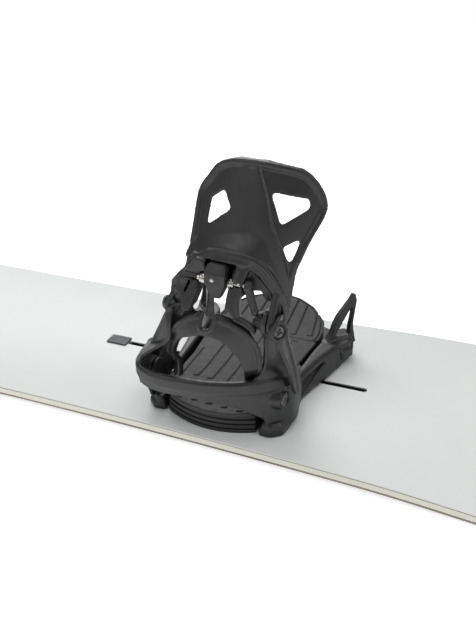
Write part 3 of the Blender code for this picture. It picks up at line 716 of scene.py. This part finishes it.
def rail(side):
    """A side rail: its section at places from heel to toe, wider at its foot."""
    sections = [(-58, 57.5, 62.5, 66), (-42, 58.2, 66.5, 70), (-33, 59, 68, 71.5),
                (-15, 60.2, 71, 76), (-5, 61, 73, 79), (5, 61.5, 75.5, 82), (17, 62.3, 79, 85),
                (28, 63.5, 82.5, 87.5), (38.5, 65, 86.5, 90.5)]
    rings = []
    for y, inner, top, foot in sections:
        points = [(inner, 3), (foot - 1, 1), (foot, 3.5), (foot - 0.3, 7), (top + 1.5, 20),
                  (top, 24.5), (top - 3, 26.7), (inner + 2.5, 27), (inner + 0.3, 25.5)]
        rings.append([(side * x, y, z) for x, z in points])
    return loft(rings)


def build_baseplate():
    floor = slab([rounded(floor_outline(), 6), circle(0, 0, 35.5)], GAP, 7.0)
    shells = [floor]
    tools = []
    for side in (1, -1):
        shells.append(rail(side))
        wide = 73.5 if side > 0 else 69
        foot = [(side * 49.5, -106), (side * (wide - 12), -107.5), (side * (wide - 2), -99),
                (side * wide, -88), (side * wide, -59), (side * 59, -59), (side * 49.5, -88)]
        shells.append(slab([rounded(foot, 6)], 0.8, 8))
        upper = [(x + (side * 60 - x) * 0.1, y * 0.985 - 1) for x, y in foot]
        shells.append(slab([rounded(upper, 6)], 3, 11.5))
        top = [(x + (side * 60 - x) * 0.24, y * 0.965 - 2) for x, y in foot]
        shells.append(slab([rounded(top, 6)], 3, 14.5))
        recess = [(-42, 4), (-38, 21.5), (18, 20), (-6, 13)]
        tool = slab([rounded(recess, 2)], -4, 4)
        lean = radians(24)

        def spot(y, z, out, side=side, lean=lean):
            x = 74.4 + (y + 20) * 0.205 - (z - 3) * tan(lean) * 0.42 + out - 0.8
            return side * x, y, z

        tools.append(mapped(tool, spot))
    place("baseplate_shell", moulded(shells, 1.0, 4, tools), nylon, "board", ["baseplate"],
          "nylon")


def heel_lines():
    """Grooves of the heel footbed: short hooks at the heel, long ones ahead of them."""
    lines = []
    for x in (-30, -14.5, 1, 16.5, 32):
        lines.append([(x - 2.5, -110), (x + 1.5, -109), (x + 2.2, -99)])
        lines.append([(x - 4, -71), (x + 0.5, -70), (x + 1.5, -50), (x * 1.06 + 2, 12),
                      (x * 1.08 + 2, 27)])
        lines.append([(x * 1.08 + 6, 32), (x * 1.08 + 2, 33)])
    lines += [[(-46, -78), (-47, -20)], [(46, -78), (47.5, -20)]]
    return lines


def build_footbed():
    right = [(0, -121), (26, -117), (43, -107), (50, -92), (53, -60), (53.5, -30), (56.5, -5),
             (58.5, 18), (61, SEAM_Y - GAP)]
    legs = [(44, -91.5), (51, -60), (52, -30), (55, -5), (57, 18), (59, SEAM_Y - GAP - 1)]
    upper = slab([rounded(mirrored(right), 3)], FOOTBED_TOP - 4, FOOTBED_TOP)
    lower = slab([mirrored(legs)], FLOOR_TOP + GAP, FOOTBED_TOP - 2)
    mesh = moulded([upper, lower], 0.8, 2)
    mesh = engraved(mesh, heel_lines(), 1.5, 1.5, FOOTBED_TOP - 1.2)
    place("footbed_pad", mesh, pad, "board", ["footbed"], "footbed")


def on_toe_ramp(x, y, up):
    rise = 10.5 * ease((y - SEAM_Y) / 75)
    full = FOOTBED_TOP - FLOOR_TOP - GAP
    return x, y, FLOOR_TOP + GAP + up * (full + rise) / full


def build_toe_pad():
    right = [(61.5, SEAM_Y), (61.5, 60), (58, 78), (39, 100), (18, 113), (0, 117)]
    full = FOOTBED_TOP - FLOOR_TOP - GAP
    flat = moulded([slab([rounded(mirrored(right), 12)], 0, full)], 0.8, 2)
    lines = []
    for x, near, far in ((-50, 57, 82), (-34, 46, 100), (-17, 46, 110), (0, 46, 113),
                         (18, 46, 111), (31, 46, 103), (47, 50, 91)):
        lines.append([(x * 1.12 - 4.5, near - 1), (x * 1.12, near), (x, far)])
    inner = [(x * 0.955, SEAM_Y + (y - SEAM_Y) * 0.96) for x, y in rounded(mirrored(right), 12)]
    lines.append(inner[2:-2])
    flat = engraved(flat, lines, 1.5, 1.5, full - 1.2)
    place("toe_pad_ramp", mapped(flat, on_toe_ramp), pad, "board", ["toe_pad"], "footbed")


def build_heel_bumper():
    """A stack of thin layers, each a little proud of the groove under it."""
    shells = []
    top = FOOTBED_TOP - 4.4
    levels = [(0.3, 3.8, 0.2), (5.2, 9.0, 0.3), (10.4, 14.2, 0.6), (15.6, top, 1.0)]
    for low, high, inset in levels + [(0.3, top, 2.4)]:
        rear = []
        for step in range(41):
            x = -46 + 92 * step / 40
            rear.append((x * (1 - inset / 46), -117.5 + inset + 13 * (x / 46) ** 2))
        outline = rear + [(46 - inset, -92.8), (inset - 46, -92.8)]
        shells.append(slab([rounded(outline, 3)], low, high))
    place("heel_bumper_stack", moulded(shells, 0.5, 1), rubber, "board", ["heel_bumper"],
          "bumper")


def build_toe_hook(side, name):
    plan = [(63.5, SEAM_Y), (90.5, SEAM_Y), (98, 56), (93, 76), (80, 84), (67, 69)]
    base_plan = [(side * x, y) for x, y in plan]
    low = slab([rounded(base_plan, 6)], FLOOR_TOP + GAP, 18)
    upper_plan = [(side * (x - (3.5 if x > 80 else 0)), y) for x, y in plan]
    high = slab([rounded(upper_plan, 6)], FLOOR_TOP + GAP, 24.5)
    foot = Vector((side * 69, 45, 20))
    heel = Vector((side * 92, 69, 18))
    apex = Vector((side * 86, 80, 71))
    along = (heel - foot).normalized()
    up = (apex - foot) - along * (apex - foot).dot(along)
    height = up.length
    up.normalize()
    across = along.cross(up)
    run = (heel - foot).length
    lean = (apex - foot).dot(along)

    def on_fin(x, y, z):
        thin = 1 - 0.45 * min(max(y / height, 0), 1)
        return tuple(foot + along * x + up * y + across * z * thin)

    outer = curved([(-4, 0), (6, 12), (14, 30), (lean - 4, height - 6), (lean - 0.5, height),
                    (lean + 3.4, height - 1)], 8) + curved(
        [(lean + 4.8, height - 8), (lean + 2, height * 0.6), (run + 0.5, height * 0.32),
         (run + 3.5, 0)], 8)
    inner = [(10, 8.5), (run - 5, 8.5), (run - 3.5, height * 0.4), (lean + 0.4, height - 11)]
    fin = bent(slab([outer, rounded(inner, 3)], -4.4, 4.4), on_fin, 5.0)
    lip = ridge(outer[:33], 0.2, 2.6, -5.2, 5.2, on_fin, 5.0)
    mesh = moulded([low, high, fin, lip], 0.9, 5)
    place(f"toe_hook_{name}_loop", mesh, nylon, "board", [f"toe_hook_{name}"], "nylon")


def hoop_outline():
    outer = [(-98, 20), (-96.5, 12), (-94, 6), (-44, 5), (-42, 12), (-43, 26), (-54, 42),
             (-64, 54), (-73, 72), (-80, 92), (-87, 112), (-91, 124), (-97, 130.5),
             (-105, 130.5), (-111, 124), (-110, 114), (-101, 105), (-100, 66), (-104, 58)]
    inner = [(-113, 37), (-108, 29), (-102, 18), (-100, 8), (-44, 8), (-42, 12), (-43, 27),
             (-54, 42), (-70, 54), (-84, 63), (-90, 78), (-91.5, 95), (-92, 110), (-95, 122),
             (-101, 129.5), (-106, 127.5), (-111, 118), (-115, 108), (-117.5, 84), (-119, 58)]
    right = [(hoop_distance(1, y), z) for y, z in outer]
    left = [(hoop_distance(-1, y), z) for y, z in inner]
    return [(0, 39.5), (20, 35), (36, 30)] + right + left[::-1] + [(-60, 40.5), (-14, 40)]


def on_web(x, z, inwards):
    """The inner tower's broad face, which turns forwards to meet the hoop's side."""
    y = WEB_REAR + 5 * ease((x + 36) / 6) + 0.45 * max(-42 - x, 0)
    return x, y + inwards, z


def build_hoop():
    shells = [panel(hoop_outline(), 5, 0, 4.4, on_hoop, 3.5)]
    right = hoop_distance(1, -50)
    left = hoop_distance(-1, -56)
    for low, high, inside, outside, inset in ((46.2, 60.2, 0.6, 4.6, 3), (47.0, 59.4, 1.0, 5.8, 4),
                                              (48.6, 58.2, 1.0, 6.6, 8), (43.6, 48, 1.5, 5.0, 2)):
        ends = [(left + inset, low), (right - inset, low), (right - inset - 1, (low + high) / 2),
                (right - inset - 8, high), (left + inset + 8, high),
                (left + inset + 1, (low + high) / 2)]
        shells.append(panel(ends, 2, inside, outside, on_hoop))
    crests = [[(hoop_distance(1, y), z) for y, z in
               ((-56, 49), (-66, 60), (-75, 78), (-82, 98), (-88, 117), (-93, 127), (-101, 131))],
              [(hoop_distance(-1, y), z) for y, z in
               ((-72, 55), (-85, 65), (-91, 79), (-92.5, 95), (-93, 110), (-96, 121))],
              [(hoop_distance(-1, y), z) for y, z in
               ((-117, 66), (-116, 86), (-114, 107), (-109, 118), (-104, 126))]]
    for crest in crests:
        shells.append(ridge(curved(crest, 5), 1.7, 1.7, 0.2, 5.8, on_hoop))
    web = [(-35, 122), (-30, 125), (-17, 125), (-13, 119), (-13, 106), (-37, 88), (-52, 62),
           (-68, 58), (-64, 70), (-58, 82), (-49, 100), (-41, 114)]
    shells.append(panel(web, 3, 0, 2.6, on_web))
    brim = curved([(-67, 62), (-63, 72), (-58, 82), (-48.5, 99.5), (-41, 114), (-35.5, 121.5),
                   (-28.5, 124.7), (-17, 124.7)], 6)
    shells.append(ridge(brim, 1.2, 1.2, -1.4, 2.6, on_web))
    boss = pivot_rod(36, OUTER_TOWER + 4.8, 10.5)
    boss = carved(boss, pivot_rod(30, OUTER_TOWER - 0.1, 12))
    shells.append(boss)
    tools = [pivot_rod(25, 90, PIVOT_BORE), pivot_rod(-25, -60, PIVOT_BORE)]
    for side, seat in ((1, OUTER_SEAT), (-1, INNER_SEAT)):
        shells.append(rod((side * (seat - 9), SCREW_Y, SCREW_Z),
                          (side * (seat + 1.2), SCREW_Y, SCREW_Z), 11.5, far=9.2))
        tools.append(rod((side * (seat - 0.4), SCREW_Y, SCREW_Z),
                         (side * 95, SCREW_Y, SCREW_Z), 7.7))
    place("heel_hoop_shell", moulded(shells, 0.95, 4, tools), nylon, "board", ["heel_hoop"],
          "nylon")


def on_cup(across, z, out):
    """A point of the heel cup, which steps inwards to pass inside the hoop's lip."""
    return on_back(across, z, out - 8 * ease((74 - z) / 16))


def build_heel_cup():
    outer = [(51, 42), (52, 63), (51.5, 76), (51, 89), (46, 102), (37, 113), (22, 122),
             (5, 126.5), (4.5, 114), (2.5, 110), (-1.5, 108.5), (-5.5, 110), (-7.5, 114),
             (-8, 126.5), (-20, 121), (-30, 112), (-36, 102), (-41, 92), (-44, 82), (-49, 62),
             (-53, 42)]
    inner = [(-40, 42), (-38, 64), (-34, 80), (-24, 95), (-6, 104), (8, 104.5), (20, 99),
             (31, 86), (38, 68), (40, 42)]
    wall = panel(outer + inner, 3, 0, 3.4, on_cup)
    rim_line = curved([(-47, 58), (-41, 82), (-33, 101), (-20, 115.5), (-10.5, 121.5)], 6)
    other = curved([(7.5, 121.5), (21, 117.5), (35, 109), (44.5, 98), (48.6, 84), (49.4, 62)], 6)
    lips = [ridge(line, 2.8, 1.4, 0.5, 5.6, on_cup) for line in (rim_line, other)]
    lips.append(ridge(curved(inner, 6), 2.4, 0.6, -2.4, 3.0, on_cup))
    notch = [(4.8, 125.5), (4.6, 114), (2.4, 109.8), (-1.5, 108.3), (-5.4, 109.8), (-7.6, 114),
             (-8.2, 125.5)]
    lips.append(ridge(curved(notch, 4), 0.4, 2.2, 0.4, 4.9, on_cup))
    place("heel_cup_arch", moulded([wall] + lips, 0.9, 4), nylon, "board", ["heel_cup"], "nylon")


# ---------------------------------------------------------------- the highback

def highback_outline():
    return [(49, 140), (56, 128), (60, 112), (62.5, 102), (67.5, 104), (67.5, 122),
            (63, 142), (60.5, 150), (57, 167), (58, 191), (63, 212), (61, 224), (52, 237),
            (38, 248), (10, 253), (-16, 253), (-34, 247), (-44, 236), (-56, 216), (-47, 177),
            (-42, 156), (-41, 142), (-32, 131), (-20, 129), (-18, 145), (-26, 171), (6, 170),
            (9.5, 145), (14, 131), (24, 129), (20.5, 141), (17.5, 169), (27, 160.5), (45, 145.5)]


WINDOWS = [
    [(-27, 225), (-40, 215), (-37, 193), (-16, 211)],
    [(14, 229), (46, 224), (49, 217), (29, 203)],
    [(50, 192), (37, 185), (50, 168)],
]
BACK_EDGE = [(65, 104), (65.4, 122), (61, 141), (58.3, 151), (55, 167), (56, 191), (60.8, 212),
             (58.8, 223), (50.5, 235.5), (37.3, 245.7), (10, 250.6), (-15.6, 250.6),
             (-32.8, 244.9), (-42.3, 234.8), (-53.4, 215.4), (-44.8, 177), (-40, 156)]


def on_spine(across, z, out):
    """The spine stands highest at its right edge and fades out to the left."""
    right = 2 + (240 - z) * 0.46 if z > 203 else 19 + (203 - z) * 0.74
    share = ease(1 - (right - across) / 34)
    return on_back(across, z, 1.0 + (out - 1.0) * (0.1 + 0.9 * share))


def on_swell(across, z, out):
    """The shell swells outwards as it comes down to the lower frame."""
    line = 190 + 0.27 * (across + 40) - max(across - 18, 0) * 1.5
    share = ease((line - z) / 26)
    return on_back(across, z, 1.0 + (out - 1.0) * (0.25 + 0.75 * share))


def on_band(x, z, inwards):
    return x, inwards + BAND_REAR, z


def on_bay(x, z, inwards):
    return x, inwards + BAY_REAR, z


def lug(low, high, radius, top):
    """An ear of the highback on the pivot axis, reaching up to a point."""
    axis = Vector((PIVOT_Y, PIVOT_Z))
    end = Vector(top)
    run = (end - axis).normalized()
    side = Vector((-run.y, run.x))
    outline = []
    for centre, start in ((axis, 0), (end, pi)):
        for step in range(25):
            turn = start + pi * step / 24
            outline.append(tuple(centre + (side * cos(turn) - run * sin(turn)) * radius))
    return mapped(slab([outline], low, high), sideways)


def build_highback():
    windows = [rounded(window, 3.2) for window in WINDOWS]
    shell = slab([rounded(highback_outline(), 6)] + windows, 0.2, 3.4)
    shells = [bent(shell, on_back, 3.0)]
    edge_line = curved(BACK_EDGE, 8)
    shells.append(ridge(edge_line, 3.4, 1.7, 0.4, 5.6, on_back))
    shells.append(ridge(edge_line[34:-8], 1.4, 1.6, 0.4, 6.6, on_back))
    spine = [(3, 247), (21.5, 204), (44, 172), (56, 151), (62, 134), (66, 118), (60, 118),
             (50, 143), (38, 164), (15, 180), (-20, 182), (-28, 205), (-18, 246)]
    shells.append(panel(spine, 2, 1.0, 6.0, on_spine))
    swell = [(-45, 164), (-47, 183), (-38, 191), (-14, 200), (19, 207), (42, 175), (54, 152),
             (60, 136), (48, 146), (30, 166), (-5, 179), (-30, 170)]
    shells.append(panel(swell, 3, 1.0, 7.6, on_swell))
    frame_line = [(62, 116), (57, 134), (47, 151), (32, 168), (16, 177.5), (-5, 180.5),
                  (-24, 177), (-36.5, 164), (-39, 148), (-38, 134), (-31, 131), (-28, 123),
                  (-18.5, 123), (-19, 145), (-26, 171.5), (6.5, 170.5), (9.5, 148), (12, 132),
                  (20, 125), (34, 117.5), (40, 111), (43, 114), (36, 121), (24.5, 127),
                  (19.5, 141), (17, 169), (28, 161), (43, 147), (52, 130), (57, 114)]
    shells.append(panel(frame_line, 4, 1.0, 7.4, on_back))
    crest = curved([(64.5, 108), (62, 124), (56, 138), (47, 151), (33, 166.5), (16.5, 176.5),
                    (-5, 179.5), (-23, 176), (-35, 164), (-38.5, 150), (-38.5, 136)], 8)
    shells.append(ridge(crest, 2.2, 1.2, 1.0, 9.6, on_back))
    for line in ([(-21, 124), (-22.5, 146), (-28, 169)], [(23, 128), (17.5, 145), (15, 168)],
                 [(12, 132), (8.5, 150), (8, 168)], [(20, 125.5), (33, 119), (41, 112)]):
        shells.append(ridge(curved(line, 6), 1.3, 1.3, 1.0, 8.8, on_back))
    shells.append(panel([(-30, 171), (-24, 178), (-5, 181), (14, 177), (17, 170)], 2, -1.0, 9.2,
                        on_back))
    shells.append(lug(OUTER_TOWER + 5.0, LEVER_INSIDE - 0.4, 10.6, (-90, 140)))
    ear = lug(-44.0, -INNER_TOWER - 5.0, 8.8, (-98, 130))
    shells.append(mapped(ear, lambda x, y, z: (x + 0.45 * max(z - 122, 0), y, z)))
    band = [(-40, 116), (-34, 138), (-25.5, 156), (-13, 171), (-5, 170), (-4, 160),
            (-5.5, 150), (-10, 140), (-16, 125), (-22, 116)]
    shells.append(mapped(slab([rounded(band, 3)], 0, 9), on_band))
    bridge = slab([rounded([(-42, 118), (-40, 143), (-28, 158), (-24, 120)], 3)], 0, 14)
    shells.append(mapped(bridge, lambda x, z, y: (x, y - 101, z)))
    shells.append(panel([(-43, 158), (-44, 140), (-46, 118), (-38, 114), (-26, 116), (-22, 132)],
                        3, 0.2, 3.4, on_back))
    wall = slab([rounded([(17, 170), (29, 161), (44, 146), (50, 136), (41, 139.5), (35, 147),
                          (26, 147), (20, 140), (15, 155)], 2)], -1.0, 1.6)
    shells.append(bent(wall, on_back, 3.0))
    bay = slab([rounded([(-17.5, 141), (-21, 172), (31, 172), (27, 141)], 2)], 0, 16)
    hollow = slab([rounded([(-15, 130), (-18.5, 169.5), (21.5, 169.5), (18.5, 130)], 2)], -8, 13.6)
    shells.append(carved(mapped(bay, on_bay), mapped(hollow, on_bay)))
    slit = slab([rounded([(-27.6, 131), (-26, 129.6), (-18.4, 148), (-20, 149.4)], 0.6)], -4, 5)
    tools = [pivot_rod(-50, 80, PIVOT_BORE), catch_rod(-30, 40, CATCH_BORE),
             catch_rod(-9.4, 23.6, 5.7), mapped(slit, on_band)]
    place("highback_shell", moulded(shells, 0.9, 5, tools), nylon, "highback_body", ["highback"],
          "nylon")


# ---------------------------------------------------------------- the catch and the lever

def build_catch():
    middle = 7.4
    profile = [(9.6, 0), (9.6, 12), (8, 16.5), (-7.8, 16.5), (-9.4, 12), (-9.6, 0), (-5.8, -10),
               (-3.8, -15.5), (3.8, -15.5), (5.8, -10)]
    front = slab([rounded([(x + middle, z + CATCH_Z) for x, z in profile], 3)], -12, 12)
    front = mapped(front, lambda x, z, y: (x, y + CATCH_Y, z))
    side_view = [(-8, -2), (-8.4, 9), (-3.5, 16.5), (7, 16.5), (11, 8), (9, -4), (2, -15.5),
                 (-5, -15.5)]
    outside = [(-30, -40), (30, -40), (30, 40), (-30, 40)]
    keep = mapped(slab([[(y + CATCH_Y, z + CATCH_Z) for y, z in outside],
                        [(y + CATCH_Y, z + CATCH_Z) for y, z in rounded(side_view, 3)]],
                       -20, 30), sideways)
    grooves = []
    for x in (-5.4, -2.2, 1.0, 4.2, 7.4):
        ring = slab([rounded([(y + CATCH_Y, z + CATCH_Z) for y, z in
                              ((-12, 3), (-12, 20), (9, 20), (9, 12), (-4, 14.4), (-7.6, 8.6),
                               (-7.3, 3))], 0.5)], x + middle - 1.4, x + middle - 0.7)
        grooves.append(mapped(ring, sideways))
    mesh = moulded([front], 0.5, 0, [keep])
    mesh = moulded([mesh], 0.4, 3, grooves + [catch_rod(-30, 40, 3.0)])
    place("heel_catch_block", mesh, nylon_inner, "catch_body", ["heel_catch"], "nylon")
    dot = moulded([ball((5.4, CATCH_Y - 8.4, CATCH_Z + 3.5), (2.0, 1.0, 2.0)),
                   rod((5.4, CATCH_Y - 8.4, CATCH_Z + 3.5),
                       (5.4, CATCH_Y - 6, CATCH_Z + 3.5), 1.7)], 0.25, 2)
    place("heel_catch_rivet", dot, nickel, "catch_body", [], "nickel")
    shaft = [catch_rod(-11.5, 38, 2.7)]
    for start in (-8.8, 17.4):
        shaft.append(catch_rod(start, start + 6, 4.4))
        shaft.append(catch_rod(start + 0.8, start + 5.2, 4.9))
        shaft.append(catch_rod(start + 2.4, start + 3.6, 5.2))
    place("catch_shaft_rollers", moulded(shaft, 0.35, 2), nickel, "catch_body", ["catch_shaft"],
          "nickel", 40)


def build_link_arm():
    boss = catch_rod(33.6, 39.5, 5.8)
    arm = rod((36.5, CATCH_Y - 1, CATCH_Z - 2), (43, -106, 132), 4.0, far=3.2)
    cap = catch_rod(39, 40.2, 4.2)
    end = ball((43, -106, 132), (3.6, 3.6, 4.4))
    bore = catch_rod(39.4, 44, 2.2, 6)
    mesh = moulded([boss, arm, cap, end], 0.45, 3, [bore])
    place("link_arm_moulding", mesh, nylon_inner, "catch_body", ["link_arm"], "nylon")


def on_lever(y, z, out):
    step = 3.2 * ease((115 - z) / 8) + 9.4 * ease((110 - z) / 46)
    return LEVER_INSIDE + step + out, y, z


def on_cap(x, y, z):
    """Carry a screw built along x onto the lever's slanting cap."""
    beside = CAP_AXIS.cross(Vector((0, 0, 1))).normalized()
    return tuple(CAP_CENTRE + CAP_AXIS * x + beside * y + beside.cross(CAP_AXIS) * z)


def build_lever():
    ring = [(PIVOT_Y + 10.4 * cos(radians(turn)), PIVOT_Z + 10.4 * sin(radians(turn)))
            for turn in range(-20, 221, 8)]
    arm = [(-110, 110), (-107.5, 98), (-104, 84), (-100.5, 70), (-94, 55), (-85, 42),
           (-81, 39.5), (-79.5, 42), (-84, 54), (-88.5, 66), (-90.8, 80), (-90.5, 93),
           (-96, 108)]
    body = slab([ring + curved(arm, 4)], 0.2, 4.0)
    shells = [bent(body, on_lever, 2.5)]
    crest = curved([(-96, 108), (-92.5, 94), (-92.6, 80), (-90.2, 66), (-85.6, 54),
                    (-81.4, 43)], 6)
    shells.append(ridge(crest, 2.6, 1.6, 0.2, 5.6, on_lever, 2.5))
    back, front, dish, beyond = (CAP_CENTRE + CAP_AXIS * step for step in (-3.2, 1.6, 0.2, 6))
    shells += [rod(back, front, 9.7), rod(back, front + CAP_AXIS * 0.5, 8.8)]
    bores = [pivot_rod(40, 64, LEVER_BORE), rod(dish, beyond, 6.5)]
    place("release_lever_arm", moulded(shells, 0.7, 3, bores), nylon, "lever_body",
          ["release_lever"], "nylon")
    cam = pivot_rod(42.5, 49.7, 6.0)
    nose = rod((46.5, PIVOT_Y, PIVOT_Z), (46.5, PIVOT_Y, PIVOT_Z + 9.0), 2.8)
    teeth = [rod((42.6, PIVOT_Y + 6 * cos(radians(t)), PIVOT_Z + 6 * sin(radians(t))),
                 (49.6, PIVOT_Y + 6 * cos(radians(t)), PIVOT_Z + 6 * sin(radians(t))), 1.1, 24)
             for t in range(110, 300, 22)]
    place("release_cam_wheel", moulded([cam, nose] + teeth, 0.4, 2), nylon_inner, "lever_body",
          ["release_cam"], "nylon")


def screw(inside, outside, tail, y, z, radius, shank):
    """A pan-head screw along x with a cross recess, its head from inside to outside."""
    way = 1 if outside > inside else -1
    head = [rod((inside, y, z), (outside - way * 0.7, y, z), radius),
            rod((inside, y, z), (outside, y, z), radius - 0.9),
            rod((tail, y, z), (outside - way * 1.5, y, z), shank)]
    depth = outside - way * 1.6
    arms = []
    for turn in (25, 115):
        across = Vector((0, cos(radians(turn)), sin(radians(turn))))
        beside = Vector((0, -across.z, across.y))
        ring = [across * 0.52 * radius + beside * 0.14 * radius,
                across * -0.52 * radius + beside * 0.14 * radius,
                across * -0.52 * radius - beside * 0.14 * radius,
                across * 0.52 * radius - beside * 0.14 * radius]
        rings = [[Vector((x, y, z)) + p for p in ring] for x in (depth, outside + way * 3)]
        arms.append(loft(rings))
    dish = rod((outside - way * 0.35, y, z), (outside + way * 3, y, z), radius * 0.74)
    return moulded(head, 0.3, 1, [dish] + arms)


def build_screws():
    for side, seat, name in ((1, OUTER_SEAT, "outer"), (-1, INNER_SEAT, "inner")):
        mesh = screw(side * seat, side * (seat + HEAD_THICKNESS), side * (seat - 8), SCREW_Y,
                     SCREW_Z, 7.2, 3.0)
        place(f"hoop_screw_{name}_cross", mesh, steel, "board", [f"hoop_screw_{name}"],
              "screw_steel")
    mesh = screw(-44.4, -47.0, -34, PIVOT_Y, PIVOT_Z, 6.4, 3.3)
    place("pivot_screw_inner_cross", mesh, steel, "board", ["pivot_screw_inner"], "screw_steel")
    mesh = mapped(screw(-0.6, 1.4, -3, 0, 0, 5.9, 2.6), on_cap)
    shank = pivot_rod(41, 64, 3.3)
    mesh = gathered([mesh, shank])
    place("lever_screw_cross", mesh, steel, "lever_body", ["lever_screw"], "screw_steel")


# ---------------------------------------------------------------- the room

def repaint():
    """The CAD nodes that stay in view get their finish."""
    kinds = {"wood_core": core, "channel_front": channel, "channel_rear": channel}
    for prefix in ("front", "rear"):
        kinds[f"{prefix}_mounting_disc"] = nylon_inner
        for place_name in ("inner", "outer"):
            kinds[f"{prefix}_disc_screw_{place_name}"] = steel
            kinds[f"{prefix}_channel_nut_{place_name}"] = steel
    for name, paint in kinds.items():
        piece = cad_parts[name]
        piece.data.materials.clear()
        piece.data.materials.append(paint)
        bevel = piece.modifiers.new("soft_edges", "BEVEL")
        bevel.width = 0.0003
        bevel.segments = 2
        bevel.limit_method = "ANGLE"
        bevel.angle_limit = radians(40)


def area_light(name, size, energy, spot, aim, colour=(1, 1, 1)):
    data = bpy.data.lights.new(name, "AREA")
    data.shape = "RECTANGLE"
    data.size, data.size_y = size
    data.energy = energy
    data.color = colour
    lamp = bpy.data.objects.new(name, data)
    bpy.context.scene.collection.objects.link(lamp)
    lamp.location = spot
    lamp.rotation_euler = (Vector(aim) - Vector(spot)).to_track_quat("-Z", "Y").to_euler()


def build_room():
    ground = bpy.data.materials.new("studio_floor")
    ground.use_nodes = True
    shader = ground.node_tree.nodes["Principled BSDF"]
    shader.inputs["Base Color"].default_value = (0.86, 0.86, 0.86, 1)
    shader.inputs["Roughness"].default_value = 0.9
    shader.inputs["Specular IOR Level"].default_value = 0.1
    shader.inputs["Emission Color"].default_value = (1, 1, 1, 1)
    shader.inputs["Emission Strength"].default_value = FLOOR_GLOW
    work = bmesh.new()
    bmesh.ops.create_grid(work, x_segments=8, y_segments=8, size=FLOOR_SIZE)
    mesh = bpy.data.meshes.new("floor")
    work.to_mesh(mesh)
    work.free()
    mesh.materials.append(ground)
    floor = bpy.data.objects.new("floor", mesh)
    bpy.context.scene.collection.objects.link(floor)
    floor.location.z = -FLOOR_DROP
    world = bpy.data.worlds.new("studio")
    world.use_nodes = True
    sky = world.node_tree.nodes["Background"]
    sky.inputs["Color"].default_value = (1, 1, 1, 1)
    sky.inputs["Strength"].default_value = SKY_STRENGTH
    bpy.context.scene.world = world
    area_light("back_left", (1.2, 1.0), 17, (-0.5, 1.1, 1.1), (0.25, 0, 0.1))
    area_light("front_left", (0.6, 0.6), 3.5, (-0.4, -0.9, 1.0), (0.25, 0, 0.1))
    area_light("top", (1.4, 1.0), 9, (0.3, 0.2, 1.6), (0.25, 0, 0))
    area_light("right", (0.5, 1.0), 5, (1.5, -0.3, 0.8), (0.25, 0, 0.1))


def build_camera():
    """Looks down at the front binding from behind the heel edge."""
    pan, tilt, roll = radians(-19.36), radians(29.4), radians(0.64)
    ahead = Vector((sin(pan) * cos(tilt), cos(pan) * cos(tilt), -sin(tilt)))
    right = Vector((cos(pan), -sin(pan), 0))
    up = right.cross(ahead)
    level = right * cos(roll) + up * sin(roll)
    rise = up * cos(roll) - right * sin(roll)
    data = bpy.data.cameras.new("camera")
    data.sensor_width = 36
    data.lens = CAMERA_LENS
    data.clip_start = 0.01
    camera = bpy.data.objects.new("camera", data)
    bpy.context.scene.collection.objects.link(camera)
    turn = Matrix((level, rise, -ahead)).transposed().to_4x4()
    camera.matrix_world = Matrix.Translation(CAMERA_SPOT) @ turn
    bpy.context.scene.camera = camera
    bpy.context.scene.view_settings.view_transform = "Standard"


build_board()
build_baseplate()
build_footbed()
build_toe_pad()
build_heel_bumper()
build_toe_hook(1, "outer")
build_toe_hook(-1, "inner")
build_hoop()
build_heel_cup()
build_highback()
build_catch()
build_link_arm()
build_lever()
build_screws()
repaint()
build_room()
build_camera()
